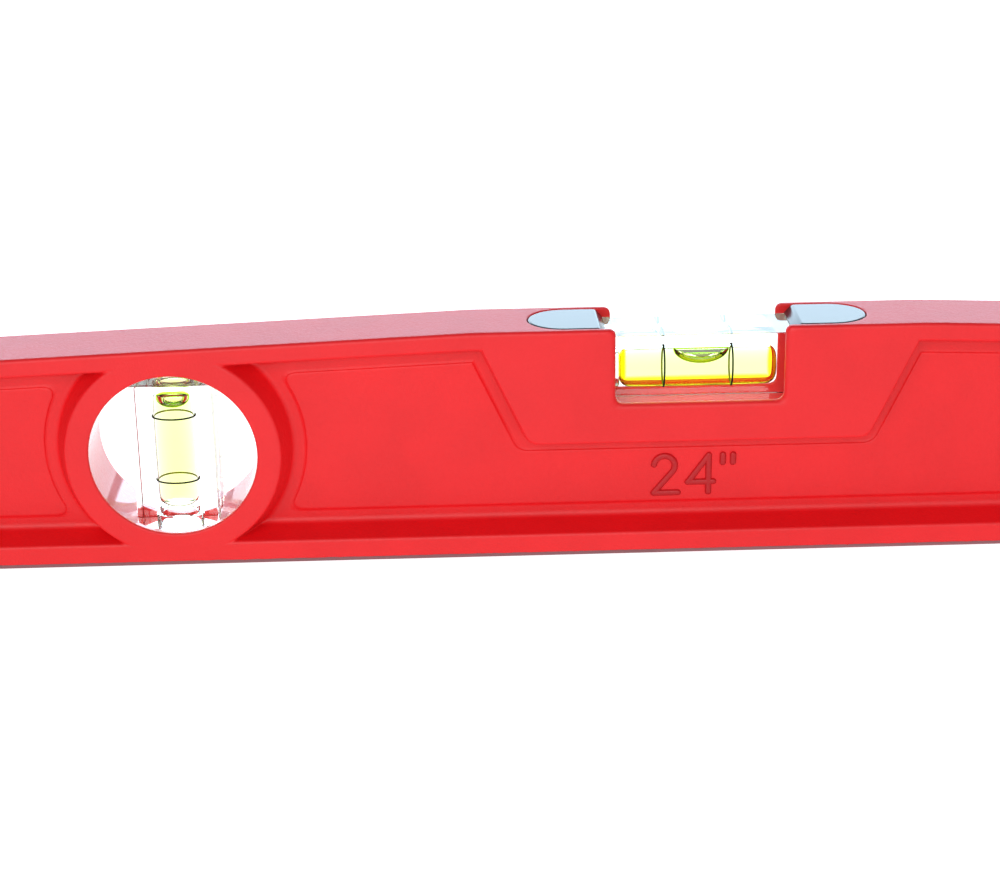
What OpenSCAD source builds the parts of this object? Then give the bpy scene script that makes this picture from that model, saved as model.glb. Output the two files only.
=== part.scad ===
// Cast-beam spirit level with a level vial in the top and a plumb vial in a round window.
// X runs along the level, Y from front to back, Z up. The origin is the middle of the base.

/* [Beam] */
// Overall length of the beam
beam_length = 609.6; // [480:0.1:750]
// Height of the beam at its middle
beam_height = 60.5; // [57:0.5:80]
// Thickness of the beam, front to back
beam_thickness = 21; // [17:0.5:30]
// Half the length of the straight middle of the top
flat_half = 57; // [50:1:80]
// Angle at which the top falls towards each end
top_fall = 2.1; // [0:0.1:2.5]
// Thickness of the web between the flanges
web = 5.2; // [3:0.2:8]
// Height of the base flange at its outer edge
base_flange = 6.6; // [4:0.2:9]
// Height of the top flange at its outer edge
top_flange = 4.7; // [3:0.1:7]
// How much each flange thickens from its outer edge to the web
flange_draft = 1.5; // [0.5:0.1:3]
// Thickness of the solid block that closes each end
end_block = 9; // [5:0.5:20]
// Width of the milled chamfer along the base edges
base_chamfer = 1.5; // [0.5:0.1:2.5]
// Height of the raised panel on the web
panel_raise = 0.6; // [0.2:0.1:1.2]
// Gap between the raised panel and the walls round it
panel_gap = 3.2; // [2:0.1:5]
// Corner radius of the raised panel
panel_corner = 4; // [2:0.5:7]

/* [Plumb window] */
// Distance of the window from the middle of the beam
window_x = 132; // [110:1:180]
// Radius of the window
window_r = 21; // [17:0.5:21.5]
// Metal left below the window
window_floor = 9; // [7:0.5:9.5]
// Width of the ring of metal round the window, at the face
ring_width = 6.2; // [3:0.2:9]
// How much the ring widens from the face to the web
ring_draft = 2; // [0.5:0.1:3]

/* [Vial housing] */
// Half-width of the housing at the top flange
housing_top_half = 54.5; // [50:0.5:56]
// Half-width of the housing at its lower edge
housing_low_half = 42.8; // [40:0.2:48]
// Metal left below the slot for the level vial
housing_base = 7.7; // [5:0.1:10]
// Corner radius of the housing's lower corners
housing_corner = 4.5; // [2:0.5:7]
// Half-width of the notch that shows the level vial
notch_half = 21.1; // [17:0.1:22]
// Height of the notch's sill above the slot floor
sill = 2.7; // [1:0.1:4]
// Corner radius at the sill
notch_corner = 2.4; // [1:0.1:4]
// Wall between the slot and each face of the beam
slot_wall = 2.1; // [1.4:0.1:3]

/* [Level vial] */
// Radius of both vials' bores at their middle
bore_r = 5.3; // [4:0.1:6.4]
// How much the bores narrow from their middle to their ends
barrel_sag = 0.15; // [0.05:0.05:0.3]
// Half-length of the level vial's chamber
level_chamber_half = 19.8; // [17:0.2:21]
// Half-length of the level vial's block
level_block_half = 26.6; // [25.4:0.2:28]
// Height of the level vial's block
level_block_height = 19.4; // [16:0.2:22]
// Depth of the block's top below the top of the beam
block_drop = 2.3; // [1.6:0.1:4]
// Length of the level bubble
level_bubble_length = 14.1; // [10:0.1:16]
// Place of the level bubble at rest, from the middle
level_bubble_x = 0.9; // [-3:0.1:3]
// Radius of the level bubble's rounded underside
level_bubble_r = 4.2; // [3:0.1:4.6]
// Depth of the level bubble below the crown of the bore
level_bubble_depth = 4.7; // [3:0.1:5.2]

/* [Plumb vial] */
// Width of the plumb vial's block
plumb_block_width = 20.5; // [16:0.5:24]
// Gap straight above the corners of the block's top
plumb_corner_gap = 0.53; // [0.3:0.01:3]
// Depth of the block's seat below the window's lowest point
seat_depth = 0.8; // [0.6:0.1:1.5]
// Wall above the plumb vial's chamber
plumb_top_wall = 2.4; // [1:0.1:4]
// Radius of the plumb bubble
plumb_bubble_r = 4.4; // [3:0.1:4.7]
// Height of the plumb bubble
plumb_bubble_height = 4.6; // [3:0.1:6]

/* [Sight rings and plugs] */
// Distance between the two rings of a vial, centre to centre
ring_spacing = 17.1; // [15:0.1:20]
// Width of a ring along its vial
ring_line = 0.5; // [0.3:0.05:0.8]
// Depth of a ring in the wall of the bore
ring_depth = 0.3; // [0.2:0.05:0.5]
// How far a plug's flange stands out past the bore
plug_lip = 0.8; // [0.4:0.1:1.2]
// Thickness of a plug's flange
plug_flange = 3.3; // [2:0.1:4]
// Length of the plumb plug's spigot inside the bore
plug_spigot = 2.2; // [1:0.1:3]
// Radius of the spanner holes in a plug
pin_hole_r = 0.45; // [0.3:0.05:0.6]
// Distance of the spanner holes from the plug's axis
pin_hole_offset = 2.4; // [1.5:0.1:3]

/* [Retainer caps] */
// Where the caps begin, from the middle of the beam
cap_start = 23.2; // [22.4:0.1:24.5]
// Where the straight sides of the caps end
cap_straight = 33.4; // [29:0.1:38]
// Where the tips of the caps end
cap_tip = 42.7; // [39:0.1:48]
// Depth of the caps' body
cap_depth = 10; // [6:0.5:14]
// How far the cap's inner end slopes
cap_slope = 1.8; // [0.5:0.1:3]

/* [Magnets] */
// Distance of the inner magnets from the middle
magnet_inner_x = 75; // [50:1:90]
// Distance of the outer magnets from the middle
magnet_outer_x = 225; // [180:1:228]
// Radius of a magnet
magnet_r = 6; // [4:0.5:7]
// Thickness of a magnet
magnet_height = 4.6; // [3:0.1:5]
// Depth of the magnets behind the milled base
magnet_recess = 0.3; // [0.1:0.1:0.5]

/* [Size mark] */
// Height of the raised numerals
mark_height = 11.8; // [8:0.1:13]
// Stroke width of the raised numerals
mark_stroke = 1.7; // [1:0.1:2.2]
// Height of the numerals' foot above the base
mark_z = 13.3; // [12:0.1:15]

/* [Fits] */
// Clearance between a part and the pocket that holds it
fit_gap = 0.2; // [0.1:0.05:0.4]
// Clearance between a bubble and what is round it
bubble_gap = 0.15; // [0.1:0.05:0.3]
// Thickness of the adhesive under each vial
adhesive = 0.5; // [0.3:0.1:0.8]
// Gap between liquid, rings or plugs and the bore they fill
film = 0.02; // [0.01:0.01:0.05]

/* [Hidden] */
$fn = 64;

// Overshoot of a cut past the face it cuts through
over = 1;
// Thickness of the flat slices that a tapered shape is stretched between
hull_skin = 0.2;
face_y = beam_thickness / 2;

slot_half = face_y - slot_wall;
block_half_y = slot_half - fit_gap;
level_block_top = beam_height - block_drop;
level_block_low = level_block_top - level_block_height;
level_axis_z = level_block_low + level_block_height / 2;
slot_floor = level_block_low - adhesive;
slot_end = level_block_half + fit_gap;
housing_low = slot_floor - housing_base;
sill_z = slot_floor + sill;
cap_floor = beam_height - cap_depth;

window_z = window_floor + window_r;
ring_r = window_r + ring_width;
seat_z = window_floor - seat_depth;
plumb_block_low = seat_z + adhesive;
plumb_block_top = window_z + sqrt(pow(window_r, 2) - pow(plumb_block_width / 2, 2)) - plumb_corner_gap;
plumb_chamber_low = plumb_block_low + plug_flange + plug_spigot;
plumb_chamber_top = plumb_block_top - plumb_top_wall;
plumb_chamber_half = (plumb_chamber_top - plumb_chamber_low) / 2;
plumb_axis_mid = plumb_chamber_low + plumb_chamber_half;

plug_r = bore_r + plug_lip;
chamber_corner = bore_r / 2;
magnet_bore_r = magnet_r + film;
magnet_bore_depth = magnet_height + magnet_recess;

level_travel_left = level_chamber_half + level_bubble_x - level_bubble_length / 2 - chamber_corner;
level_travel_right = level_chamber_half - level_bubble_x - level_bubble_length / 2 - chamber_corner;
plumb_travel = 2 * plumb_chamber_half - plumb_bubble_height - 4 * bubble_gap;

// Height of the top surface, less a drop, at a place along the beam
function top_z(x, drop = 0) = beam_height - drop - max(0, abs(x) - flat_half) * tan(top_fall);

// Side view of the beam between two heights, stopping short of its ends
function side_outline(inset, low, drop) = let (end_x = beam_length / 2 - inset) [
    [-end_x, low], [end_x, low], [end_x, top_z(end_x, drop)], [flat_half, top_z(flat_half, drop)],
    [-flat_half, top_z(flat_half, drop)], [-end_x, top_z(end_x, drop)]
];

// Straight-sided slot with an elliptical tip, as seen from above
function bullet_outline(start, straight, tip, half) = concat(
    [[start, -half]],
    [for (a = [-90:6:90]) [straight + (tip - straight) * cos(a), half * sin(a)]],
    [[start, half]]
);

// Points along an arc, and a side's points mirrored in X and taken in reverse to close an outline
function arc_points(x, z, r, from, to) = [for (k = [0:8]) let (a = from + (to - from) * k / 8)
    [x + r * cos(a), z + r * sin(a)]];
function mirrored_back(points) = [for (k = [len(points) - 1:-1:0]) [-points[k][0], points[k][1]]];

// Half-profile of a barrel-ground chamber: radius against distance from its middle
function barrel_radius(along, half) = bore_r - barrel_sag * pow(along / half, 2);
function barrel_profile(half, shrink) = concat(
    [[0, -half + shrink]],
    [for (a = [-90:15:0]) [
        barrel_radius(half, half) - chamber_corner * (1 - cos(a)) - shrink,
        -half + shrink + chamber_corner * (1 + sin(a))
    ]],
    [for (k = [-4:4])
        let (along = k / 5 * (half - chamber_corner))
        [barrel_radius(along, half) - shrink, along]
    ],
    [for (a = [0:15:90]) [
        barrel_radius(half, half) - chamber_corner * (1 - cos(a)) - shrink,
        half - shrink - chamber_corner * (1 - sin(a))
    ]],
    [[0, half - shrink]]
);

// Lays a side view, drawn in X and Z, over a stretch of Y
module side_slab(y_low, y_high) {
    translate([0, y_high, 0])
        rotate([90, 0, 0])
            linear_extrude(y_high - y_low)
                children();
}

// Stands a shape made along Z on the X axis instead
module along_x() {
    rotate([0, 90, 0]) children();
}

// Places what it holds once on the front half and once, mirrored, on the back half
module both_faces() {
    children();
    mirror([0, 1, 0]) children();
}

module chamber(half, shrink) {
    rotate_extrude() polygon(barrel_profile(half, shrink));
}

// Space between the flanges on the front face, wider at its mouth than at the web
module pocket() {
    hull() {
        side_slab(-face_y - over, -face_y)
            polygon(side_outline(end_block, base_flange, top_flange));
        side_slab(-web / 2 - hull_skin, -web / 2)
            polygon(side_outline(
                end_block + flange_draft,
                base_flange + flange_draft,
                top_flange + flange_draft
            ));
    }
}

// Outline of the raised middle that holds the level vial: a trapezoid with rounded lower corners
housing_slope = atan((housing_top_half - housing_low_half) / (beam_height - top_flange - housing_low));
function housing_right_side() = let (tangent = housing_corner * tan((90 - housing_slope) / 2)) concat(
    arc_points(housing_low_half - tangent, housing_low + housing_corner, housing_corner, -90, -housing_slope),
    [[housing_top_half, beam_height - top_flange], [housing_top_half, beam_height - top_flange / 2]]
);
module housing_outline() {
    polygon(concat(housing_right_side(), mirrored_back(housing_right_side())));
}

// Ring of metal round the plumb window on one face, cut off level with the top and the base
module window_ring_half() {
    intersection() {
        translate([-window_x, 0, window_z])
            rotate([90, 0, 0])
                cylinder(h = face_y, r1 = ring_r + ring_draft, r2 = ring_r, $fn = 96);
        side_slab(-face_y, 0) polygon(side_outline(0, 0, 0));
    }
}

// Slightly raised panel on the web, following the walls round it at an even distance
module panel_outline() {
    offset(r = panel_corner, $fn = 32)
        offset(delta = -panel_corner - panel_gap)
            difference() {
                polygon(side_outline(
                    end_block + flange_draft, base_flange + flange_draft, top_flange + flange_draft
                ));
                translate([-window_x, window_z]) circle(ring_r + ring_draft);
                housing_outline();
            }
}

// Numerals and inch mark, drawn with plain strokes from their lower left corner
module numeral_two() {
    bowl_r = mark_height * 0.3;
    bowl_z = mark_height - bowl_r;
    difference() {
        translate([bowl_r, bowl_z]) circle(bowl_r);
        translate([bowl_r, bowl_z]) circle(bowl_r - mark_stroke);
        translate([-over, -over]) square([bowl_r + over, bowl_z + over]);
        rotate(-38) translate([-bowl_r, -bowl_r]) square([bowl_r * 2, mark_height * 0.9]);
    }
    polygon([
        [0, 0], [mark_stroke * 1.3, mark_stroke], [bowl_r * 1.95, bowl_z - bowl_r * 0.35],
        [bowl_r * 1.95 - mark_stroke, bowl_z - bowl_r * 0.1], [0, mark_stroke * 0.7]
    ]);
    square([bowl_r * 2.1, mark_stroke]);
}

module numeral_four() {
    stem_x = mark_height * 0.45;
    bar_z = mark_height * 0.24;
    translate([stem_x, 0]) square([mark_stroke, mark_height]);
    translate([0, bar_z]) square([mark_height * 0.7, mark_stroke]);
    polygon([
        [0, bar_z], [mark_stroke * 1.2, bar_z], [stem_x + mark_stroke, mark_height - mark_stroke],
        [stem_x + mark_stroke, mark_height], [stem_x, mark_height]
    ]);
}

module size_mark() {
    digit_pitch = mark_height * 0.74;
    tick_length = mark_height * 0.3;
    translate([-digit_pitch * 1.32, mark_z]) {
        numeral_two();
        translate([digit_pitch, 0]) numeral_four();
        for (k = [0, 1]) {
            translate([digit_pitch * (2.05 + 0.3 * k), mark_height - tick_length])
                square([mark_stroke * 0.8, tick_length]);
        }
    }
}

// Notch with rounded corners at its sill
function notch_right_side() = concat(
    arc_points(notch_half - notch_corner, sill_z + notch_corner, notch_corner, -90, 0),
    [[notch_half, beam_height + over]]
);

// Slot, notch and cap pockets for the level vial
module level_vial_cuts() {
    translate([-slot_end, -slot_half, slot_floor])
        cube([2 * slot_end, 2 * slot_half, beam_height]);
    side_slab(-face_y - over, face_y + over)
        polygon(concat(notch_right_side(), mirrored_back(notch_right_side())));
    for (side = [0, 1])
        mirror([side, 0, 0])
            translate([0, 0, cap_floor])
                linear_extrude(cap_depth + over)
                    polygon(bullet_outline(notch_half - over, cap_straight, cap_tip, slot_half));
}

// Window and the seat at its foot for the plumb vial
module plumb_vial_cuts() {
    translate([-window_x, face_y + over, window_z])
        rotate([90, 0, 0])
            cylinder(h = beam_thickness + 2 * over, r = window_r, $fn = 96);
    translate([-window_x - plumb_block_width / 2 - fit_gap, -slot_half, seat_z])
        cube([plumb_block_width + 2 * fit_gap, 2 * slot_half, window_r]);
}

module base_chamfer_cut() {
    translate([-beam_length / 2 - over, -face_y, 0])
        along_x()
            linear_extrude(beam_length + 2 * over)
                polygon([
                    [over, -over],
                    [-base_chamfer, -over],
                    [-base_chamfer, 0],
                    [0, base_chamfer],
                    [over, base_chamfer]
                ]);
}

module beam_casting() {
    color("red")
        difference() {
            union() {
                difference() {
                    side_slab(-face_y, face_y) polygon(side_outline(0, 0, 0));
                    both_faces() pocket();
                }
                side_slab(-face_y, face_y) housing_outline();
                both_faces() window_ring_half();
                side_slab(-web / 2 - panel_raise, web / 2 + panel_raise) panel_outline();
                side_slab(-web / 2 - 2 * panel_raise, 0) size_mark();
            }
            level_vial_cuts();
            plumb_vial_cuts();
            both_faces() base_chamfer_cut();
            for (x = [-magnet_outer_x, -magnet_inner_x, magnet_inner_x, magnet_outer_x])
                translate([x, 0, -over]) cylinder(h = magnet_bore_depth + over, r = magnet_bore_r);
        }
}

// Groove for one sight ring, on a vial that runs along Z
module ring_groove(at) {
    translate([0, 0, at - ring_line / 2]) cylinder(h = ring_line, r = bore_r + ring_depth);
}

module sight_ring(at) {
    color("black")
        difference() {
            translate([0, 0, at - ring_line / 2 + film])
                cylinder(h = ring_line - 2 * film, r = bore_r + ring_depth - film);
            translate([0, 0, at - ring_line]) cylinder(h = 2 * ring_line, r = bore_r);
        }
}

// Plug seen from its outer face at zero: flange, spigot and two spanner holes
module vial_plug(spigot) {
    color("whitesmoke")
        difference() {
            union() {
                cylinder(h = plug_flange - film, r = plug_r - film);
                cylinder(h = plug_flange + spigot - film, r = bore_r - barrel_sag - film);
            }
            for (side = [-1, 1])
                translate([side * pin_hole_offset, 0, -over])
                    cylinder(h = plug_flange / 2 + over, r = pin_hole_r, $fn = 24);
        }
}

// Space inside a vial's block: chamber, plug bore and ring grooves, along Z
module vial_bore(half, low_end, spigot) {
    chamber(half, 0);
    translate([0, 0, low_end - over]) cylinder(h = plug_flange + over, r = plug_r);
    translate([0, 0, low_end]) cylinder(h = plug_flange + spigot + chamber_corner, r = bore_r - barrel_sag);
    for (side = [-1, 1])
        ring_groove(side * ring_spacing / 2);
}

level_spigot = level_block_half - level_chamber_half - plug_flange;

module at_level_axis() {
    translate([0, 0, level_axis_z]) along_x() children();
}

module at_plumb_axis() {
    translate([-window_x, 0, plumb_axis_mid]) children();
}

module level_vial_block() {
    color("lightcyan", 0.4)
        difference() {
            translate([-level_block_half, -block_half_y, level_block_low])
                cube([2 * level_block_half, 2 * block_half_y, level_block_height]);
            at_level_axis() vial_bore(level_chamber_half, -level_block_half, level_spigot);
        }
}

// Bubble shape on its own centre line: half-ellipses at both ends of a straight stretch
module level_bubble_form(grow, left_run, right_run) {
    half = level_bubble_length / 2 + grow;
    radius = level_bubble_r + grow;
    along_x()
        rotate_extrude()
            polygon(concat(
                [for (a = [-90:9:0]) [radius * cos(a), -left_run + half * sin(a)]],
                [for (a = [0:9:90]) [radius * cos(a), right_run + half * sin(a)]]
            ));
}

module at_level_bubble() {
    translate([level_bubble_x, 0, level_axis_z + bore_r - level_bubble_depth + level_bubble_r])
        children();
}

module level_vial_liquid() {
    color("greenyellow", 0.6)
        difference() {
            at_level_axis() chamber(level_chamber_half, film);
            at_level_bubble() level_bubble_form(bubble_gap, level_travel_left, level_travel_right);
        }
}

module level_vial_bubble() {
    color("white", 0.5)
        intersection() {
            at_level_bubble() level_bubble_form(0, 0, 0);
            translate([-level_chamber_half, 0, level_axis_z])
                along_x() cylinder(h = 2 * level_chamber_half, r = bore_r - barrel_sag - bubble_gap);
        }
}

module level_vial_plug() {
    translate([-level_block_half, 0, level_axis_z]) along_x() vial_plug(level_spigot);
}

module level_vial_ring(side) {
    at_level_axis() sight_ring(side * ring_spacing / 2);
}

module level_vial_adhesive() {
    color("ivory")
        translate([-level_block_half, -block_half_y, slot_floor])
            cube([2 * level_block_half, 2 * block_half_y, adhesive]);
}

module plumb_vial_block() {
    color("lightcyan", 0.4)
        difference() {
            translate([-window_x - plumb_block_width / 2, -block_half_y, plumb_block_low])
                cube([plumb_block_width, 2 * block_half_y, plumb_block_top - plumb_block_low]);
            at_plumb_axis()
                vial_bore(plumb_chamber_half, plumb_block_low - plumb_axis_mid, plug_spigot);
        }
}

// Bubble shape with rounded rims, reaching down from the crown of the chamber
module plumb_bubble_form(grow, run) {
    radius = plumb_bubble_r + grow;
    rim = chamber_corner * 0.75;
    top = plumb_chamber_top - 2 * bubble_gap + grow;
    low = plumb_chamber_top - 2 * bubble_gap - plumb_bubble_height - run - grow;
    translate([-window_x, 0, 0])
        rotate_extrude()
            polygon(concat(
                [[0, low]],
                [for (a = [-90:15:0]) [radius - rim * (1 - cos(a)), low + rim * (1 + sin(a))]],
                [for (a = [0:15:90]) [radius - rim * (1 - cos(a)), top - rim * (1 - sin(a))]],
                [[0, top]]
            ));
}

module plumb_vial_liquid() {
    color("greenyellow", 0.6)
        difference() {
            at_plumb_axis() chamber(plumb_chamber_half, film);
            plumb_bubble_form(bubble_gap, plumb_travel);
        }
}

module plumb_vial_bubble() {
    color("white", 0.5) plumb_bubble_form(0, 0);
}

module plumb_vial_plug() {
    translate([-window_x, 0, plumb_block_low]) vial_plug(plug_spigot);
}

module plumb_vial_ring(side) {
    at_plumb_axis() sight_ring(side * ring_spacing / 2);
}

module plumb_vial_adhesive() {
    color("ivory")
        translate([-window_x - plumb_block_width / 2, -block_half_y, seat_z])
            cube([plumb_block_width, 2 * block_half_y, adhesive]);
}

// Cap for the right end of the level vial: a body beyond the block and a ledge over its end
module retainer_cap() {
    ledge_low = level_block_top + fit_gap;
    body_start = level_block_half + 2 * fit_gap;
    color("dimgray") {
        intersection() {
            linear_extrude(beam_height)
                polygon(bullet_outline(
                    cap_start - cap_slope, cap_straight, cap_tip - fit_gap, slot_half - fit_gap
                ));
            side_slab(-face_y, face_y)
                polygon([
                    [body_start, cap_floor], [cap_tip, cap_floor], [cap_tip, beam_height],
                    [cap_start + cap_slope, beam_height], [cap_start, ledge_low], [body_start, ledge_low]
                ]);
        }
    }
}

module magnet(x) {
    color("silver") translate([x, 0, magnet_recess]) cylinder(h = magnet_height, r = magnet_r);
}

beam_casting();
level_vial_block();
level_vial_liquid();
level_vial_bubble();
level_vial_plug();
level_vial_ring(-1);  // level_vial_ring_left
level_vial_ring(1);  // level_vial_ring_right
level_vial_adhesive();
plumb_vial_block();
plumb_vial_liquid();
plumb_vial_bubble();
plumb_vial_plug();
plumb_vial_ring(-1);  // plumb_vial_ring_lower
plumb_vial_ring(1);  // plumb_vial_ring_upper
plumb_vial_adhesive();
mirror([1, 0, 0]) retainer_cap();  // retainer_cap_left
retainer_cap();  // retainer_cap_right
magnet(-magnet_outer_x);  // magnet_left_outer
magnet(-magnet_inner_x);  // magnet_left_inner
magnet(magnet_inner_x);  // magnet_right_inner
magnet(magnet_outer_x);  // magnet_right_outer
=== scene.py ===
"""Looks of a cast-beam spirit level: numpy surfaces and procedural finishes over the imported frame."""

import logging
import math
from dataclasses import dataclass, field
from enum import Enum
from typing import Any

import bmesh
import bpy
import numpy as np
from mathutils import Matrix, Vector
from mathutils.geometry import tessellate_polygon


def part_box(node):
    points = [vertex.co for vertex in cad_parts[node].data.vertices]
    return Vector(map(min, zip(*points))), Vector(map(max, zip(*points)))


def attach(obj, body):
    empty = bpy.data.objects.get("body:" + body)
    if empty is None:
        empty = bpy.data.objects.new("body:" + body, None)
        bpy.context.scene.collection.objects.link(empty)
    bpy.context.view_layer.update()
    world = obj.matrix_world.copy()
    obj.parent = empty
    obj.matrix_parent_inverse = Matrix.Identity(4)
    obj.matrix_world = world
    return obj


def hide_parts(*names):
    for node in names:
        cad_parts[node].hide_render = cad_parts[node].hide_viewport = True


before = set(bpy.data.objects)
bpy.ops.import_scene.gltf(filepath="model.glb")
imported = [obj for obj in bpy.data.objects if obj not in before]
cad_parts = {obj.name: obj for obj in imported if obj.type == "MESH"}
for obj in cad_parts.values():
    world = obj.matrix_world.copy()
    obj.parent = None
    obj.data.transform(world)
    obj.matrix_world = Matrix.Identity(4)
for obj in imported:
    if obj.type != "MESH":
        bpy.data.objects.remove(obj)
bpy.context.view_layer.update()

log = logging.getLogger("spirit_level")

MM = 0.001
WELD = 0.0005
FLAT_MARGIN = 0.2
SHARP_ANGLE = math.radians(35)
LEFT = np.array([-1.0, 0.0, 0.0])
RIGHT = np.array([1.0, 0.0, 0.0])
FRONT = np.array([0.0, -1.0, 0.0])
DOWN = np.array([0.0, 0.0, -1.0])
UP = np.array([0.0, 0.0, 1.0])
# Mirrors a point of the front half to the back half.
BACK = np.array([1.0, -1.0, 1.0])


class Axis(Enum):
    """Direction in which a vial, plug or magnet is turned."""

    ALONG_BEAM = "x"
    UPRIGHT = "z"


class Body(Enum):
    """Bodies of the frame that pieces ride on."""

    BEAM = "beam"
    LEVEL_BUBBLE = "level_bubble"
    PLUMB_BUBBLE = "plumb_bubble"


# ---------------------------------------------------------------- surfaces


class Surface:
    """Collects grids and flat faces in millimetres and welds them into one mesh."""

    def __init__(self) -> None:
        """Starts with no points and no faces."""
        self._points: list[np.ndarray] = []
        self._faces: list[np.ndarray] = []
        self._count = 0

    def _store(self, points: np.ndarray, faces: np.ndarray) -> None:
        """Adds triangles and the points that they index."""
        self._points.append(points)
        self._faces.append(faces + self._count)
        self._count += len(points)

    def grid(self, rows: np.ndarray, toward: np.ndarray | None = None, closed: bool = False) -> None:
        """Adds a grid of points as triangles that face outwards.

        Two triangles fill each cell of the grid. The first row of cells must face `toward`. Without it, the
        grid is a closed form, and its signed volume must come out positive.

        Args:
            rows: points as (levels, points in a level, 3).
            toward: direction that the first row of cells faces.
            closed: joins the last point of each level to its first.
        """
        levels, around, _ = rows.shape
        index = np.arange(levels * around).reshape(levels, around)
        beside = np.roll(index, -1, axis=1) if closed else index[:, 1:]
        here = index if closed else index[:, :-1]
        first = np.stack([here[:-1], beside[:-1], beside[1:]], axis=-1)
        second = np.stack([here[:-1], beside[1:], here[1:]], axis=-1)
        points = rows.reshape(-1, 3)
        faces = np.stack([first, second], axis=2).reshape(-1, 3)
        if toward is None:
            corners = points[faces] - points.mean(axis=0)
            measure = np.einsum("ij,ij->i", corners[:, 0], np.cross(corners[:, 1], corners[:, 2])).sum()
        else:
            corners = points[faces[: 2 * here.shape[1]]]
            one, other = corners[:, 1] - corners[:, 0], corners[:, 2] - corners[:, 0]
            measure = np.cross(one, other).sum(axis=0) @ toward
        self._store(points, faces if measure > 0 else faces[:, ::-1])

    def flat(self, loops: list[np.ndarray], toward: np.ndarray) -> None:
        """Fills a flat outline, less the holes in it.

        Args:
            loops: the outline and then its holes, each as (points, 3).
            toward: direction that the face looks in.
        """
        loops = [self._distinct(loop) for loop in loops]
        points = np.vstack(loops)
        faces = np.array(tessellate_polygon([loop.tolist() for loop in loops]))
        corners = points[faces]
        normals = np.cross(corners[:, 1] - corners[:, 0], corners[:, 2] - corners[:, 0])
        turned = normals @ toward < 0
        faces[turned] = faces[turned][:, ::-1]
        self._store(points, faces)

    @staticmethod
    def _distinct(loop: np.ndarray) -> np.ndarray:
        """Points of a loop without those that repeat the one before."""
        step = np.linalg.norm(loop - np.roll(loop, 1, axis=0), axis=1)
        return loop[step > WELD]

    def both_grid(self, rows: np.ndarray, toward: np.ndarray, closed: bool = False) -> None:
        """Adds a grid on the front half and its mirror image on the back half."""
        self.grid(rows, toward, closed)
        self.grid(rows * BACK, toward * BACK, closed)

    def both_flat(self, loops: list[np.ndarray], toward: np.ndarray) -> None:
        """Adds a flat face on the front half and its mirror image on the back half."""
        self.flat(loops, toward)
        self.flat([loop * BACK for loop in loops], toward * BACK)

    @staticmethod
    def _turn_outwards(mesh: bpy.types.Mesh) -> None:
        """Turns the slivers that have no side of their own the way of their neighbours."""
        edit = bmesh.new()
        edit.from_mesh(mesh)
        bmesh.ops.recalc_face_normals(edit, faces=edit.faces)
        edit.to_mesh(mesh)
        edit.free()

    def piece(self, name: str, body: Body, slot: str, nodes: list[str], finish: "Finish") -> bpy.types.Object:
        """Welds what was collected into a smooth-shaded piece that rides on a body.

        Points closer than WELD count as one, and triangles that lose their area go.

        Args:
            name: name of the piece.
            body: body that it rides on.
            slot: the record's material slot; not used.
            nodes: CAD nodes that it stands for.
            finish: the material's maker.

        Returns:
            The new object.
        """
        points = np.vstack(self._points)
        faces = np.vstack(self._faces)
        keys = np.round(points / WELD).astype(np.int64)
        _, kept, joined = np.unique(keys, axis=0, return_index=True, return_inverse=True)
        faces = joined.reshape(-1)[faces]
        distinct = (faces[:, 0] != faces[:, 1]) & (faces[:, 1] != faces[:, 2]) & (faces[:, 2] != faces[:, 0])
        faces = faces[distinct]
        mesh = bpy.data.meshes.new(name)
        mesh.from_pydata((points[kept] * MM).tolist(), [], faces.tolist())
        self._turn_outwards(mesh)
        mesh.polygons.foreach_set("use_smooth", np.ones(len(faces), dtype=bool))
        mesh.set_sharp_from_angle(angle=SHARP_ANGLE)
        mesh.materials.append(finish.material())
        made = bpy.data.objects.new(name, mesh)
        bpy.context.scene.collection.objects.link(made)
        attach(made, body.value)
        if nodes:
            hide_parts(*nodes)
        log.info("%s: %d triangles on %s", name, len(faces), body.value)
        return made


def quarter(steps: int = 6) -> np.ndarray:
    """Angles of a quarter turn, from nought to a right angle, in radians."""
    return np.linspace(0.0, math.pi / 2, steps)


def placed(x: np.ndarray, y: np.ndarray, z: np.ndarray) -> np.ndarray:
    """Stacks coordinates, spread to one shape, into points."""
    return np.stack(np.broadcast_arrays(x, y, z), axis=-1).astype(float)


@dataclass
class Straight:
    """Straight run of an outline, held at every level: start and end are (levels, 3)."""

    start: np.ndarray
    end: np.ndarray

    def laid(self, cut_start: float, cut_end: float) -> np.ndarray:
        """Points of the run, start plus a share of the way to its end, less what its corners take."""
        way = self.end - self.start
        unit = way / np.linalg.norm(way, axis=1, keepdims=True)
        return np.stack([self.start + unit * cut_start, self.end - unit * cut_end], axis=1)


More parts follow.
